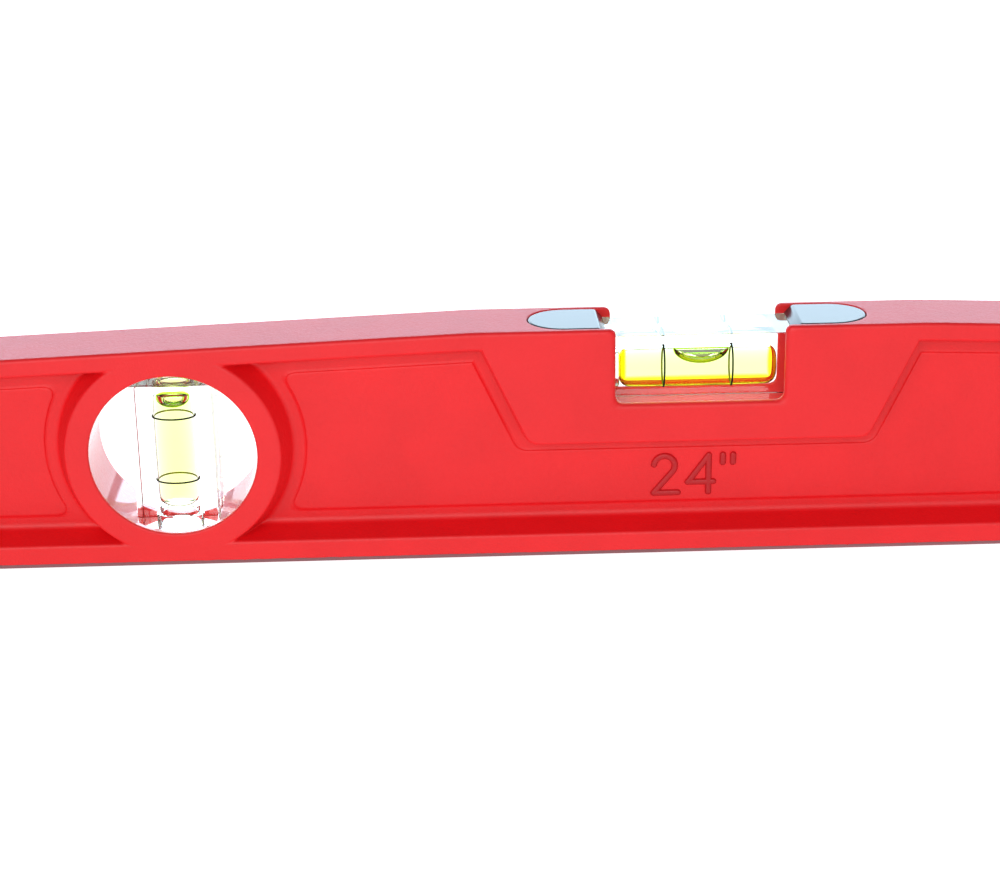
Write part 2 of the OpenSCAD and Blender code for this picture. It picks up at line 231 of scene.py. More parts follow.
@dataclass
class Bow:
    """Circular run of an outline in the plane of the side view, held at every level."""

    centre: tuple[float, float]
    radius: np.ndarray
    angle_start: np.ndarray
    angle_end: np.ndarray
    depth: np.ndarray
    count: int = 56

    def _at(self, angles: np.ndarray) -> np.ndarray:
        """Points at the centre plus the radius times the cosine and sine of each angle."""
        radius = self.radius[:, None]
        x = self.centre[0] + radius * np.cos(angles)
        z = self.centre[1] + radius * np.sin(angles)
        return placed(x, self.depth[:, None], z)

    @property
    def start(self) -> np.ndarray:
        """Untrimmed first point at every level."""
        return self._at(self.angle_start[:, None])[:, 0]

    @property
    def end(self) -> np.ndarray:
        """Untrimmed last point at every level."""
        return self._at(self.angle_end[:, None])[:, 0]

    def laid(self, cut_start: float, cut_end: float) -> np.ndarray:
        """Points of the run at even angles, less what its corners take."""
        sense = np.sign(self.angle_end - self.angle_start)
        first = self.angle_start + sense * cut_start / self.radius
        last = self.angle_end - sense * cut_end / self.radius
        share = np.linspace(0.0, 1.0, self.count)[None, :]
        return self._at(first[:, None] + (last - first)[:, None] * share)


class Outline:
    """Closed outline at several levels at once, its runs joined by rounded corners."""

    def __init__(self, runs: list[Straight | Bow], corners: list[float], steps: int = 7) -> None:
        """Lays the runs one after another.

        Each corner is a quadratic curve from the trimmed end of one run to the trimmed start of the next,
        drawn towards the point where the untrimmed runs meet.

        Args:
            runs: runs in order.
            corners: how much each run's first corner takes off both runs, where nought is a plain joint.
            steps: points in a corner.
        """
        following = corners[1:] + corners[:1]
        laid = [run.laid(cut, cut_next) for run, cut, cut_next in zip(runs, corners, following)]
        parts: list[np.ndarray] = []
        self.first: list[int] = []
        self.last: list[int] = []
        total = 0
        for k, run in enumerate(runs):
            after = (k + 1) % len(runs)
            self.first.append(total)
            whole = laid[k] if following[k] > 0 else laid[k][:, :-1]
            parts.append(whole)
            total += whole.shape[1]
            self.last.append(total - 1 if following[k] > 0 else total)
            if following[k] > 0:
                meeting = (run.end + runs[after].start) / 2
                bend = self._bend(laid[k][:, -1], meeting, laid[after][:, 0], steps)
                parts.append(bend)
                total += bend.shape[1]
        self.points = np.concatenate(parts, axis=1)

    @staticmethod
    def _bend(start: np.ndarray, control: np.ndarray, end: np.ndarray, steps: int) -> np.ndarray:
        """Inner points of a quadratic curve: (1-t)^2 start + 2t(1-t) control + t^2 end."""
        t = np.linspace(0.0, 1.0, steps + 2)[1:-1][None, :, None]
        return (1 - t) ** 2 * start[:, None] + 2 * t * (1 - t) * control[:, None] + t**2 * end[:, None]

    def part(self, from_index: int, to_index: int) -> np.ndarray:
        """Points of every level between two indices, both included, past the end if need be."""
        count = self.points.shape[1]
        chosen = np.arange(from_index, to_index + 1) % count
        return self.points[:, chosen]


def revolved(profile: np.ndarray, centre: np.ndarray, axis: Axis, around: int = 96) -> np.ndarray:
    """Turns a half-profile round an axis.

    A point at radius r and distance a along the axis goes to r cos, r sin and a.

    Args:
        profile: radius and distance along the axis, as (points, 2).
        centre: origin of the axis.
        axis: direction of the axis.
        around: steps in the turn.

    Returns:
        Grid of points as (points in the profile, steps, 3).
    """
    turn = np.linspace(0.0, 2 * math.pi, around, endpoint=False)[None, :]
    radius = profile[:, :1]
    along = profile[:, 1:]
    across, up = radius * np.cos(turn), radius * np.sin(turn)
    rows = placed(along, across, up) if axis is Axis.ALONG_BEAM else placed(across, up, along)
    return rows + centre


def rounded_box(low: np.ndarray, high: np.ndarray, radius: float, steps: int = 5) -> np.ndarray:
    """Box with rounded edges as one grid over a sphere's two angles.

    Every direction on the sphere goes to the corner of a smaller box in its own octant plus the radius
    times the direction, so the eight octants spread apart into a box. The outermost directions of each
    octant are doubled, and the double is pulled a little inside the flat face, which keeps the face flat.

    Args:
        low: lowest corner.
        high: highest corner.
        radius: radius of the edges.
        steps: points in each quarter of an edge.

    Returns:
        Grid of points that closes round its second index, with each pole spread to a flat face.
    """
    centre, half = (low + high) / 2, (high - low) / 2
    margin = min(FLAT_MARGIN, (float(half.min()) - radius) / 2)
    bow = np.concatenate([[0.0], quarter(steps), [math.pi / 2]])
    count = len(bow)
    first, final = np.zeros(count), np.zeros(count)
    first[0] = final[-1] = margin
    turn = np.concatenate([bow + k * math.pi / 2 for k in range(4)])
    sign_x = np.repeat([1.0, -1.0, -1.0, 1.0], count)
    sign_y = np.repeat([1.0, 1.0, -1.0, -1.0], count)
    pull_x = np.concatenate([final, first, final, first])
    pull_y = np.concatenate([first, final, first, final])
    rise = np.concatenate([-bow[::-1], bow])
    sign_z = np.repeat([-1.0, 1.0], count)
    pull_z = np.concatenate([first[::-1], first])
    pull_cap = np.concatenate([final[::-1], final])[:, None]
    level = np.cos(rise)[:, None]
    x = centre[0] + sign_x * (half[0] - radius - pull_x - pull_cap) + radius * level * np.cos(turn)
    y = centre[1] + sign_y * (half[1] - radius - pull_y - pull_cap) + radius * level * np.sin(turn)
    z = (centre[2] + sign_z * (half[2] - radius - pull_z) + radius * np.sin(rise))[:, None]
    return placed(x, y, z)


def add_rounded_box(surface: Surface, low: np.ndarray, high: np.ndarray, radius: float) -> None:
    """Adds a closed box with rounded edges to a surface."""
    rows = rounded_box(low, high, radius)
    surface.grid(rows, None, closed=True)
    for row, toward in ((rows[0], DOWN), (rows[-1], UP)):
        across, deep = np.unique(row[:, 0].round(6)), np.unique(row[:, 1].round(6))
        surface.grid(placed(across[:, None], deep[None, :], row[0, 2]), toward)


def ring_of(radius: float, centre: np.ndarray, around: int = 64) -> np.ndarray:
    """Level circle of points about a centre."""
    turn = np.linspace(0.0, 2 * math.pi, around, endpoint=False)
    return placed(centre[0] + radius * np.cos(turn), centre[1] + radius * np.sin(turn), centre[2])


def cad_corners(node: str) -> tuple[np.ndarray, np.ndarray]:
    """Lowest and highest corner of a CAD node, in millimetres."""
    low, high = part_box(node)
    return np.array(low) / MM, np.array(high) / MM


# ---------------------------------------------------------------- finishes


class Wire:
    """Value on a node socket, with arithmetic that adds Math nodes."""

    def __init__(self, bench: "Bench", socket: bpy.types.NodeSocket) -> None:
        """Wraps an output socket of a bench."""
        self.bench = bench
        self.socket = socket

    def _math(self, operation: str, *values: "Wire | float") -> "Wire":
        """Result of one Math node."""
        return self.bench.wire("ShaderNodeMath", {"operation": operation}, dict(enumerate(values)))

    def __add__(self, other: "Wire | float") -> "Wire":
        """Sum of the two."""
        return self._math("ADD", self, other)

    __radd__ = __add__

    def __mul__(self, other: "Wire | float") -> "Wire":
        """Product of the two."""
        return self._math("MULTIPLY", self, other)

    __rmul__ = __mul__

    def __sub__(self, other: "Wire | float") -> "Wire":
        """This less the other."""
        return self._math("SUBTRACT", self, other)

    def __rsub__(self, other: "Wire | float") -> "Wire":
        """The other less this."""
        return self._math("SUBTRACT", other, self)

    def __lt__(self, other: "Wire | float") -> "Wire":
        """One where this is below the other, else nought."""
        return self._math("LESS_THAN", self, other)

    def __gt__(self, other: "Wire | float") -> "Wire":
        """One where this is above the other, else nought."""
        return self._math("GREATER_THAN", self, other)

    def __abs__(self) -> "Wire":
        """Size without its sign."""
        return self._math("ABSOLUTE", self)

    def larger(self, other: "Wire | float") -> "Wire":
        """The larger of the two."""
        return self._math("MAXIMUM", self, other)

    def ramp(self, low: float, high: float) -> "Wire":
        """Nought below low, one above high, smooth between."""
        feeds = {"Value": self, "From Min": low, "From Max": high}
        return self.bench.wire("ShaderNodeMapRange", {"interpolation_type": "SMOOTHSTEP"}, feeds)


Inputs = dict[Any, Any] | None


class Bench:
    """Node tree of one finish, with one way to add any node."""

    def __init__(self, name: str) -> None:
        """Makes an empty node material."""
        self.material = bpy.data.materials.new(name)
        self.material.use_nodes = True
        self.tree = self.material.node_tree
        self.tree.nodes.clear()

    def node(self, kind: str, settings: Inputs = None, feeds: Inputs = None) -> Any:
        """Adds a node of any type.

        Args:
            kind: type of the node.
            settings: properties, set first.
            feeds: values, sockets or wires for its inputs, by name or number.

        Returns:
            The node.
        """
        made = self.tree.nodes.new(kind)
        for key, value in (settings or {}).items():
            setattr(made, key, value)
        for key, value in (feeds or {}).items():
            socket = made.inputs[key]
            if isinstance(value, Wire):
                self.tree.links.new(value.socket, socket)
            elif isinstance(value, bpy.types.NodeSocket):
                self.tree.links.new(value, socket)
            else:
                socket.default_value = value
        return made

    def wire(self, kind: str, settings: Inputs = None, feeds: Inputs = None, output: int | str = 0) -> Wire:
        """Adds a node as `node` does and returns one of its outputs as a wire."""
        return Wire(self, self.node(kind, settings, feeds).outputs[output])

    def place(self) -> Wire:
        """Object coordinates."""
        return self.wire("ShaderNodeTexCoord", output="Object")

    def axes(self) -> list[Wire]:
        """The three object coordinates, one by one."""
        split = self.node("ShaderNodeSeparateXYZ", {}, {0: self.place()})
        return [Wire(self, output) for output in split.outputs]

    def noise(self, size: float, detail: float = 2.0, rough: float = 0.5, stretch: tuple = (1, 1, 1)) -> Wire:
        """Cloudy noise about 0.5 whose patches are `size` millimetres across before they are stretched."""
        scaled = self.wire("ShaderNodeMapping", {}, {"Vector": self.place(), "Scale": stretch})
        feeds = {"Vector": scaled, "Scale": 1 / (size * MM), "Detail": detail, "Roughness": rough}
        return self.wire("ShaderNodeTexNoise", {}, feeds)

    def blend(self, share: Wire | float, one: Any, other: Any) -> Wire:
        """Mixes two colours."""
        settings = {"data_type": "RGBA"}
        return self.wire("ShaderNodeMix", settings, {0: share, 6: one, 7: other}, output=2)

    def mixed(self, share: Wire, one: Any, other: Any) -> Any:
        """Mixes two shaders."""
        return self.node("ShaderNodeMixShader", {}, {0: share, 1: one.outputs[0], 2: other.outputs[0]})

    def bump(self, height: Wire, distance: float) -> Wire:
        """Normal of a height field whose full height is `distance` millimetres."""
        return self.wire("ShaderNodeBump", {}, {"Height": height, "Distance": distance * MM, "Strength": 1.0})

    def finish(self, shader: Any, volume: Any | None = None) -> bpy.types.Material:
        """Joins a shader, and a volume if there is one, to the material's output."""
        made = self.node("ShaderNodeOutputMaterial", {}, {"Surface": shader.outputs[0]})
        if volume is not None:
            self.tree.links.new(volume.outputs[0], made.inputs["Volume"])
        return self.material


def colour(red: float, green: float, blue: float) -> tuple[float, float, float, float]:
    """Opaque colour from linear red, green and blue."""
    return (red, green, blue, 1.0)


@dataclass(frozen=True)
class Finish:
    """Base of every finish: its name, and one material that all its pieces share."""

    name: str

    def material(self) -> bpy.types.Material:
        """The finish's material, made when it is first asked for."""
        return bpy.data.materials.get(self.name) or self.made()

    def made(self) -> bpy.types.Material:
        """Makes the material."""
        raise NotImplementedError


@dataclass(frozen=True)
class PowderCoat(Finish):
    """Fine sandy powder coat over a casting, milled bare along the base, with painted shade on the raised
    size mark and a painted highlight tint on the milled chamfer.
    """

    name: str = "sandy_powder_coat"
    paint: tuple = colour(0.80, 0.004, 0.009)
    paint_thin: tuple = colour(0.72, 0.003, 0.007)
    metal: tuple = colour(0.80, 0.80, 0.82)
    # Pale pink on the bare milled chamfer: the metal with a painted highlight of the red edge mixed in.
    chamfer_painted_highlight: tuple = colour(0.86, 0.40, 0.44)
    # Darker red painted on the raised size mark: painted shade standing in for the shading round its strokes.
    mark_painted_shade: tuple = colour(0.47, 0.003, 0.007)
    grain: float = 0.70
    grain_height: float = 0.10
    chamfer: float = 1.5
    half_thickness: float = 10.5
    window: tuple = (-132.0, 30.0, 21.3)
    mark_half: float = 22.0
    mark_low: float = 12.5
    mark_high: float = 26.5
    mark_depth: tuple = (3.22, 3.9)

    def _in_window(self, bench: Bench, across: Wire, height: Wire) -> Wire:
        """One within the window's radius of its axis, where the paint is smooth and glossy.

        The distance from the axis, squared, is (x - window x)^2 + (z - window z)^2.
        """
        axis_x, axis_z, radius = self.window
        side, rise = across - axis_x * MM, height - axis_z * MM
        return (side * side + rise * rise) < (radius * MM) ** 2

    def _mark_shade_share(self, across: Wire, depth: Wire, height: Wire) -> Wire:
        """One on the raised size mark, which stands a little off the panel inside a small rectangle: where
        the mark's painted shade goes.
        """
        inside = (abs(across) < self.mark_half * MM) * (height > self.mark_low * MM)
        inside = inside * (height < self.mark_high * MM)
        return inside * abs(depth).ramp(self.mark_depth[0] * MM, (self.mark_depth[0] + 0.06) * MM) * (
            abs(depth) < self.mark_depth[1] * MM)

    def made(self) -> bpy.types.Material:
        """Paint with two sizes of grain, painted shade on the raised size mark, and a milled mask from the
        height and the distance to the faces.

        The mask is one where a point lies on the base plane, or on or below the plane of the chamfer, whose
        height above the base grows as fast as the distance beyond the base's edge. On the chamfer the bare
        metal takes a pale pink, a painted highlight of the red edge.
        """
        bench = Bench(self.name)
        across, depth, height = bench.axes()
        wander = (bench.noise(2.2, 3.0) - 0.5) * (0.35 * MM)
        above_chamfer = height - abs(depth) + (self.half_thickness - self.chamfer) * MM + wander
        on_base = height < 0.04 * MM
        on_chamfer = (above_chamfer < 0.08 * MM) * (height < (self.chamfer + 0.2) * MM)
        bare = on_base.larger(on_chamfer)
        cloud = bench.noise(14.0, 3.0)
        sand = bench.noise(self.grain, 3.0, 0.6)
        lump = bench.noise(self.grain * 3.2, 2.0)
        thin = cloud.ramp(0.35, 0.7) * 0.5 + sand.ramp(0.45, 0.8) * 0.3
        paint = bench.blend(thin, self.paint, self.paint_thin)
        # Painted shade: the raised size mark is painted a darker red.
        paint = bench.blend(self._mark_shade_share(across, depth, height), paint, self.mark_painted_shade)
        milled = bench.noise(0.16, 2.0, 0.6, (0.02, 1, 1))
        rough = (0.40 + 0.16 * sand) * (1 - bare) + (0.22 + 0.25 * milled) * bare
        relief = (sand * 0.8 + lump * 0.5) * (1 - bare) + milled * (0.15 * bare)
        shader = bench.node("ShaderNodeBsdfPrincipled", {}, {
            # On the chamfer the bare metal takes the pale pink painted highlight.
            "Base Color": bench.blend(bare, paint, bench.blend(on_chamfer, self.metal, self.chamfer_painted_highlight)),
            "Metallic": bare,
            "Roughness": rough,
            "IOR": 1.52,
            "Coat Weight": self._in_window(bench, across, height),
            "Coat Roughness": 0.08,
            "Coat IOR": 1.6,
            "Normal": bench.bump(relief, self.grain_height),
        })
        return bench.finish(shader)


@dataclass(frozen=True)
class ClearMedium(Finish):
    """Clear acrylic, liquid or air: one surface between two media, with the ratio of their indices."""

    name: str = "polished_acrylic"
    tint: tuple = colour(0.99, 1.0, 0.995)
    relative_index: float = 1.49
    wave: float = 0.004
    absorbed: tuple | None = None
    density: float = 0.0
    # Tint of painted light, mixed in where a finish's share says so.
    painted_light_tint: tuple = colour(1.0, 0.92, 0.05)

    def _painted_light_share(self, bench: Bench) -> Wire | None:
        """Where the surface takes its painted light tint; nowhere unless a finish says so."""
        return None

    def _glass(self, bench: Bench, tint: tuple, normal: Wire) -> Any:
        """Glass of one tint."""
        return bench.node("ShaderNodeBsdfGlass", {}, {
            "Color": tint, "IOR": self.relative_index, "Roughness": 0.0, "Normal": normal,
        })

    def made(self) -> bpy.types.Material:
        """Glass with a low wide wave, a colour that deepens along the light's path, a painted light tint
        where a finish asks for one, and clear shadows.
        """
        bench = Bench(self.name)
        normal = bench.bump(bench.noise(9.0, 1.0), self.wave)
        shader = self._glass(bench, self.tint, normal)
        share = self._painted_light_share(bench)
        if share is not None:
            # Glass of the painted light tint, mixed in by the share.
            deep = self._glass(bench, self.painted_light_tint, normal)
            shader = bench.mixed(share, shader, deep)
        clear = bench.node("ShaderNodeBsdfTransparent", {}, {"Color": self.tint})
        is_shadow = bench.wire("ShaderNodeLightPath", output="Is Shadow Ray")
        shader = bench.mixed(is_shadow, shader, clear)
        if self.absorbed is None:
            return bench.finish(shader)
        feeds = {"Color": self.absorbed, "Density": self.density}
        return bench.finish(shader, bench.node("ShaderNodeVolumeAbsorption", {}, feeds))


@dataclass(frozen=True)
class DyedLiquid(ClearMedium):
    """Dyed liquid with a deeper yellow painted along the foot and the ends of the level vial: painted light
    standing in for the light that the liquid gathers there.
    """

    band_top: float = 44.6
    band_end: float = 18.3
    blur: float = 0.5

    def _painted_light_share(self, bench: Bench) -> Wire:
        """One below the band's top or beyond its end, where the painted light goes, nought elsewhere, with
        soft edges.
        """
        along, _, height = bench.axes()
        foot = 1 - height.ramp((self.band_top - self.blur) * MM, (self.band_top + self.blur) * MM)
        end = abs(along).ramp((self.band_end - self.blur) * MM, (self.band_end + self.blur) * MM)
        return foot.larger(end)


@dataclass(frozen=True)
class AirInLiquid(ClearMedium):
    """Bubble with the liquid's colour painted along its grazing rim, a painted reflection of the liquid round
    it.
    """

    # Painted reflection of the liquid, laid on the bubble's grazing rim.
    painted_light_tint: tuple = colour(0.62, 1.0, 0.08)
    rim_starts: float = 0.30
    rim_full: float = 0.70

    def _painted_light_share(self, bench: Bench) -> Wire:
        """Nought where the surface faces the eye, one along its rim, where the painted reflection goes."""
        facing = bench.wire("ShaderNodeLayerWeight", {}, {"Blend": 0.5}, output="Facing")
        return facing.ramp(self.rim_starts, self.rim_full)


@dataclass(frozen=True)
class PaleFloor(Finish):
    """Pale floor that glows a little, and that reflections find darker in front of the level."""

    name: str = "pale_floor"
    light: tuple = colour(0.93, 0.93, 0.93)
    dark: tuple = colour(0.91, 0.91, 0.91)
    reflected: tuple = colour(0.22, 0.22, 0.22)
    glow: float = 0.8
    rough: float = 0.65
    gloss: float = 0.2
    border: float = 0.02

    def made(self) -> bpy.types.Material:
        """Soft cloud of two near whites; a mirrored ray that meets the front half finds a darker one."""
        bench = Bench(self.name)
        cloud = bench.noise(40.0, 3.0)
        pale = bench.node("ShaderNodeBsdfPrincipled", {}, {
            "Base Color": bench.blend(cloud.ramp(0.3, 0.7), self.light, self.dark),
            "Roughness": self.rough,
            "Specular IOR Level": self.gloss,
            "Emission Color": self.light,
            "Emission Strength": self.glow,
        })
        mirrored = bench.node("ShaderNodeBsdfDiffuse", {}, {"Color": self.reflected})
        path = bench.node("ShaderNodeLightPath")
        reflected, glossy = (Wire(bench, path.outputs[f"Is {kind} Ray"]) for kind in ("Reflection", "Glossy"))
        share = reflected * glossy * (1 - bench.axes()[1].ramp(-self.border, self.border))
        return bench.finish(bench.mixed(share, pale, mirrored))


@dataclass(frozen=True)
class RingInk(Finish):
    """Black ink whose inner side is painted the liquid's yellow-green: painted light of the liquid, which the
    far half of each ring shows.
    """

    name: str = "sight_ring_ink"
    outside: tuple = colour(0.012, 0.014, 0.010)
    # Yellow-green painted on the inner side: painted light standing in for the liquid's glow.
    inside: tuple = colour(0.30, 0.30, 0.004)
    first_axis: int = 1
    first_centre: float = 0.0
    second_axis: int = 2
    second_centre: float = 48.5
    turn_radius: float = 5.36
    patchy: float = 0.25

    def made(self) -> bpy.types.Material:
        """Colour by the distance from the vial's axis, the root of the sum of two squared distances; inside
        that radius the painted light of the liquid.
        """
        bench = Bench(self.name)
        axes = bench.axes()
        one = axes[self.first_axis] - self.first_centre * MM
        other = axes[self.second_axis] - self.second_centre * MM
        squared = one * one + other * other
        is_outside = squared > (self.turn_radius * MM) ** 2
        grain = bench.noise(0.3, 2.0)
        # Inner side takes the painted light of the liquid, outer side the black ink.
        ink = bench.blend(is_outside, self.inside, self.outside)
        shader = bench.node("ShaderNodeBsdfPrincipled", {}, {
            "Base Color": bench.blend(grain * self.patchy, ink, self.outside),
            "Roughness": 0.5 + 0.2 * grain,
            "Specular IOR Level": 0.0,
            "Normal": bench.bump(grain, 0.004),
        })
        return bench.finish(shader)


@dataclass(frozen=True)
class Mouldings(Finish):
    """Opaque plastic, adhesive or plating: one colour that clouds a little, with a fine grain."""

    name: str = "moulding"
    light: tuple = colour(0.05, 0.05, 0.06)
    dark: tuple = colour(0.03, 0.03, 0.035)
    metallic: float = 0.0
    rough_low: float = 0.2
    rough_high: float = 0.4
    grain: float = 0.4
    grain_height: float = 0.006
    stretch: tuple = (1, 1, 1)
    gloss: float = 0.5

    def made(self) -> bpy.types.Material:
        """Two near colours in clouds, roughness from a grain, and the grain's height in the normal."""
        bench = Bench(self.name)
        cloud = bench.noise(5.0, 3.0)
        grain = bench.noise(self.grain, 3.0, 0.55, self.stretch)
        shader = bench.node("ShaderNodeBsdfPrincipled", {}, {
            "Base Color": bench.blend(cloud.ramp(0.3, 0.7), self.light, self.dark),
            "Metallic": self.metallic,
            "Roughness": self.rough_low + (self.rough_high - self.rough_low) * grain,
            "Specular IOR Level": self.gloss,
            "Normal": bench.bump(grain, self.grain_height),
        })
        return bench.finish(shader)


POWDER_COAT = PowderCoat()
ACRYLIC = ClearMedium()
DYE = colour(0.93, 1.0, 0.0)
LEVEL_LIQUID = DyedLiquid("level_liquid", colour(1.0, 1.0, 0.97), 0.94, 0.0, DYE, 75.0)
PLUMB_LIQUID = ClearMedium("plumb_liquid", colour(1.0, 1.0, 0.97), 0.94, 0.0, DYE, 75.0)
AIR = AirInLiquid("vial_bubble", colour(1.0, 1.0, 0.97), 0.714, 0.0)
PLUG = ClearMedium("plug_acrylic", colour(0.97, 0.99, 0.98), 0.90, 0.004)
LEVEL_INK = RingInk("level_ring_ink")
PLUMB_INK = RingInk("plumb_ring_ink", first_axis=0, first_centre=-132.0, second_axis=1, second_centre=0.0)
ADHESIVE = Mouldings("ivory_adhesive", colour(0.80, 0.77, 0.70), colour(0.70, 0.66, 0.58),
                     0.0, 0.4, 0.6, 0.8, 0.02)
CAP_PLASTIC = Mouldings("grey_cap_plastic", colour(0.030, 0.034, 0.042), colour(0.018, 0.020, 0.026),
                        0.0, 0.12, 0.26, 0.5, 0.006, gloss=0.30)
NICKEL = Mouldings("magnet_nickel", colour(0.72, 0.70, 0.66), colour(0.60, 0.58, 0.55), 1.0, 0.18, 0.42, 0.12,
                   0.004, (0.03, 1, 1))


# ---------------------------------------------------------------- sub-assemblies


@dataclass
class PocketLevels:
    """Profile of a pocket's wall, from the face of the beam to its web, as arrays over the levels."""

    inward: np.ndarray
    drafted: np.ndarray
    depth: np.ndarray


@dataclass
class BeamCasting:
    """Cast I-beam with its pockets, panels, ring, housing, notch, slots, size mark and milled base."""

    flat_half: float = 57.0
    top_fall: float = math.tan(math.radians(2.1))
    web: float = 5.2
    base_flange: float = 6.6
    top_flange: float = 4.7
    flange_draft: float = 1.5
    ring_draft: float = 2.0
    housing_draft: float = 0.3
    end_block: float = 9.0
    chamfer: float = 1.5
    panel_raise: float = 0.6
    panel_gap: float = 3.2
    window_x: float = -132.0
    window_z: float = 30.0
    window_r: float = 21.0
    ring_width: float = 6.2
    housing_top_half: float = 54.5
    housing_low_half: float = 42.8
    housing_low: float = 30.6
    notch_half: float = 21.1
    sill: float = 41.0
    notch_corner: float = 2.4
    slot_half_y: float = 8.4
    slot_end: float = 26.8
    slot_floor: float = 38.3
    cap_floor: float = 50.5
    cap_straight: float = 33.4
    cap_tip: float = 42.7
    seat_half: float = 10.45
    seat_floor: float = 8.2
    magnet_places: tuple = (-225.0, -75.0, 75.0, 225.0)
    magnet_bore: float = 6.02
    magnet_bore_depth: float = 4.9
    pocket_lip: float = 0.9
    pocket_fillet: float = 1.6
    top_lip: float = 1.0
    end_lip: float = 0.8
    notch_lip: float = 1.35
    slot_lip: float = 0.4
    window_lip: float = 0.7
    end_corner: float = 3.0
    pocket_corner: float = 1.2
    panel_corner: float = 4.5
    panel_lean: float = 0.5
    panel_round: float = 0.6
    panel_foot: float = 0.25
    housing_upper_corner: float = 0.12
    housing_lower_corner: float = 2.6
    base_corner: float = 0.5
    top_corner: float = 1.4
    kink_corner: float = 2.0
    notch_top_corner: float = 1.9
    bore_bevel: float = 0.3
    window_steps: int = 97
    seat_steps: int = 16
    mark_height: float = 11.8
    mark_foot: float = 13.3
    mark_stroke: float = 1.7
    mark_sunk: float = 0.3
    surface: Surface = field(default_factory=Surface)

    def __post_init__(self) -> None:
        """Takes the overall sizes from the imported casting."""
        low, high = cad_corners("beam_casting")
        self.half_length = float(high[0])
        self.height = float(high[2])
        self.face = float(high[1])
        self.web_depth = self.face - self.web / 2

    # ---- outlines

    def _top_at(self, x: np.ndarray | float) -> np.ndarray | float:
        """Height of the top: level in the middle, then falling in proportion to the distance."""
        return self.height - np.maximum(0.0, np.abs(x) - self.flat_half) * self.top_fall

    def _pocket_levels(self) -> PocketLevels:
        """Rounded lip, drafted wall and fillet.

        The lip and the fillet are quarter circles, and between them the wall leans by its draft.
        """
        bow = quarter()
        lip, fillet, floor = self.pocket_lip, self.pocket_fillet, self.web_depth
        inward = np.concatenate([
            [-lip - FLAT_MARGIN], lip * (np.sin(bow) - 1), fillet * (1 - np.cos(bow)), [fillet + FLAT_MARGIN]
        ])
        depth = np.concatenate([
            [0.0], lip * (1 - np.cos(bow)), floor - fillet + fillet * np.sin(bow), [floor]
        ])
        drafted = np.clip((depth - lip) / (floor - lip - fillet), 0.0, 1.0)
        return PocketLevels(inward, drafted, depth)

    def _panel_levels(self) -> PocketLevels:
        """Low step up from the web to the raised panel, with a rounded edge."""
        bow = quarter(5)
        start, run = self.panel_lean, self.panel_round
        inward = self.panel_gap + np.concatenate([
            [-FLAT_MARGIN, 0.0], start + run * (1 - np.cos(bow)), [start + run + FLAT_MARGIN]
        ])
        foot = self.panel_foot
        edge = foot + (self.panel_raise - foot) * np.sin(bow)
        rise = np.concatenate([[0.0, 0.0], edge, [self.panel_raise]])
        return PocketLevels(inward, np.ones_like(inward), self.web_depth - rise)

    def _ring_crossing(self, radius: np.ndarray, height: np.ndarray, slope: float, side: float) -> np.ndarray:
        """Where a circle about the window meets a line, left (side -1) or right (side +1) of its centre.

        The line's height is `height` at the centre and grows by `slope` along X. The distance d from the
        centre solves (1 + slope^2) d^2 + 2 slope h d + h^2 - radius^2 = 0, where h is the line's height above
        the centre.
        """
        above = height - self.window_z
        spread = np.sqrt(radius**2 * (1 + slope**2) - above**2)
        return self.window_x + (-slope * above + side * spread) / (1 + slope**2)

    def _pocket_walls(self, levels: PocketLevels) -> dict[str, np.ndarray]:
        """Place of each wall of the pockets at every level."""
        inward, drafted = levels.inward, levels.drafted
        radius = self.window_r + self.ring_width + self.ring_draft * drafted + inward
        low = self.base_flange + self.flange_draft * drafted + inward
        drop = self.top_flange + self.flange_draft * drafted + inward
        at_window = self._top_at(self.window_x) - drop
        low_half = np.sqrt(radius**2 - (low - self.window_z) ** 2)
        housing_height = self.height - self.top_flange - self.housing_low
        lean = (self.housing_top_half - self.housing_low_half) / housing_height
        out = (self.housing_draft * drafted + inward) * math.hypot(1.0, lean)
        housing_low = self.housing_low - self.housing_draft * drafted - inward
        top = self.height - drop
        return {
            "y": -self.face + levels.depth,
            "radius": radius,
            "low": low,
            "drop": drop,
            "end": self.half_length - self.end_block - self.flange_draft * drafted - inward,
            "low_left": self.window_x - low_half,
            "low_right": self.window_x + low_half,
            "top_left": self._ring_crossing(radius, at_window, self.top_fall, -1.0),
            "top_right": self._ring_crossing(radius, at_window, self.top_fall, 1.0),
            "top": top,
            "housing_low": housing_low,
            "housing_low_x": self.housing_low_half + (housing_low - self.housing_low) * lean + out,
            "housing_top_x": self.housing_low_half + (top - self.housing_low) * lean + out,
        }

    def _bow_round_window(self, walls: dict[str, np.ndarray], xs: tuple, zs: tuple, turn: float) -> Bow:
        """Run round the window's ring between two points, at angles raised by `turn` where negative."""
        angles = [np.arctan2(z - self.window_z, x - self.window_x) for x, z in zip(xs, zs)]
        angles = [np.where(angle < 0, angle + turn, angle) for angle in angles]
        return Bow((self.window_x, self.window_z), walls["radius"], angles[0], angles[1], walls["y"])

    def _left_pocket(self, levels: PocketLevels, corner: float) -> Outline:
        """Pocket between the left end and the window's ring."""
        w = self._pocket_walls(levels)
        y = w["y"]
        top_ring = self._top_at(w["top_left"]) - w["drop"]
        top_end = self._top_at(-w["end"]) - w["drop"]
        low_end, low_ring = placed(-w["end"], y, w["low"]), placed(w["low_left"], y, w["low"])
        high_ring, high_end = placed(w["top_left"], y, top_ring), placed(-w["end"], y, top_end)
        bow = self._bow_round_window(w, (w["low_left"], w["top_left"]), (w["low"], top_ring), 2 * math.pi)
        runs = [Straight(low_end, low_ring), bow, Straight(high_ring, high_end), Straight(high_end, low_end)]
        return Outline(runs, [self.end_corner, corner, corner, self.end_corner])

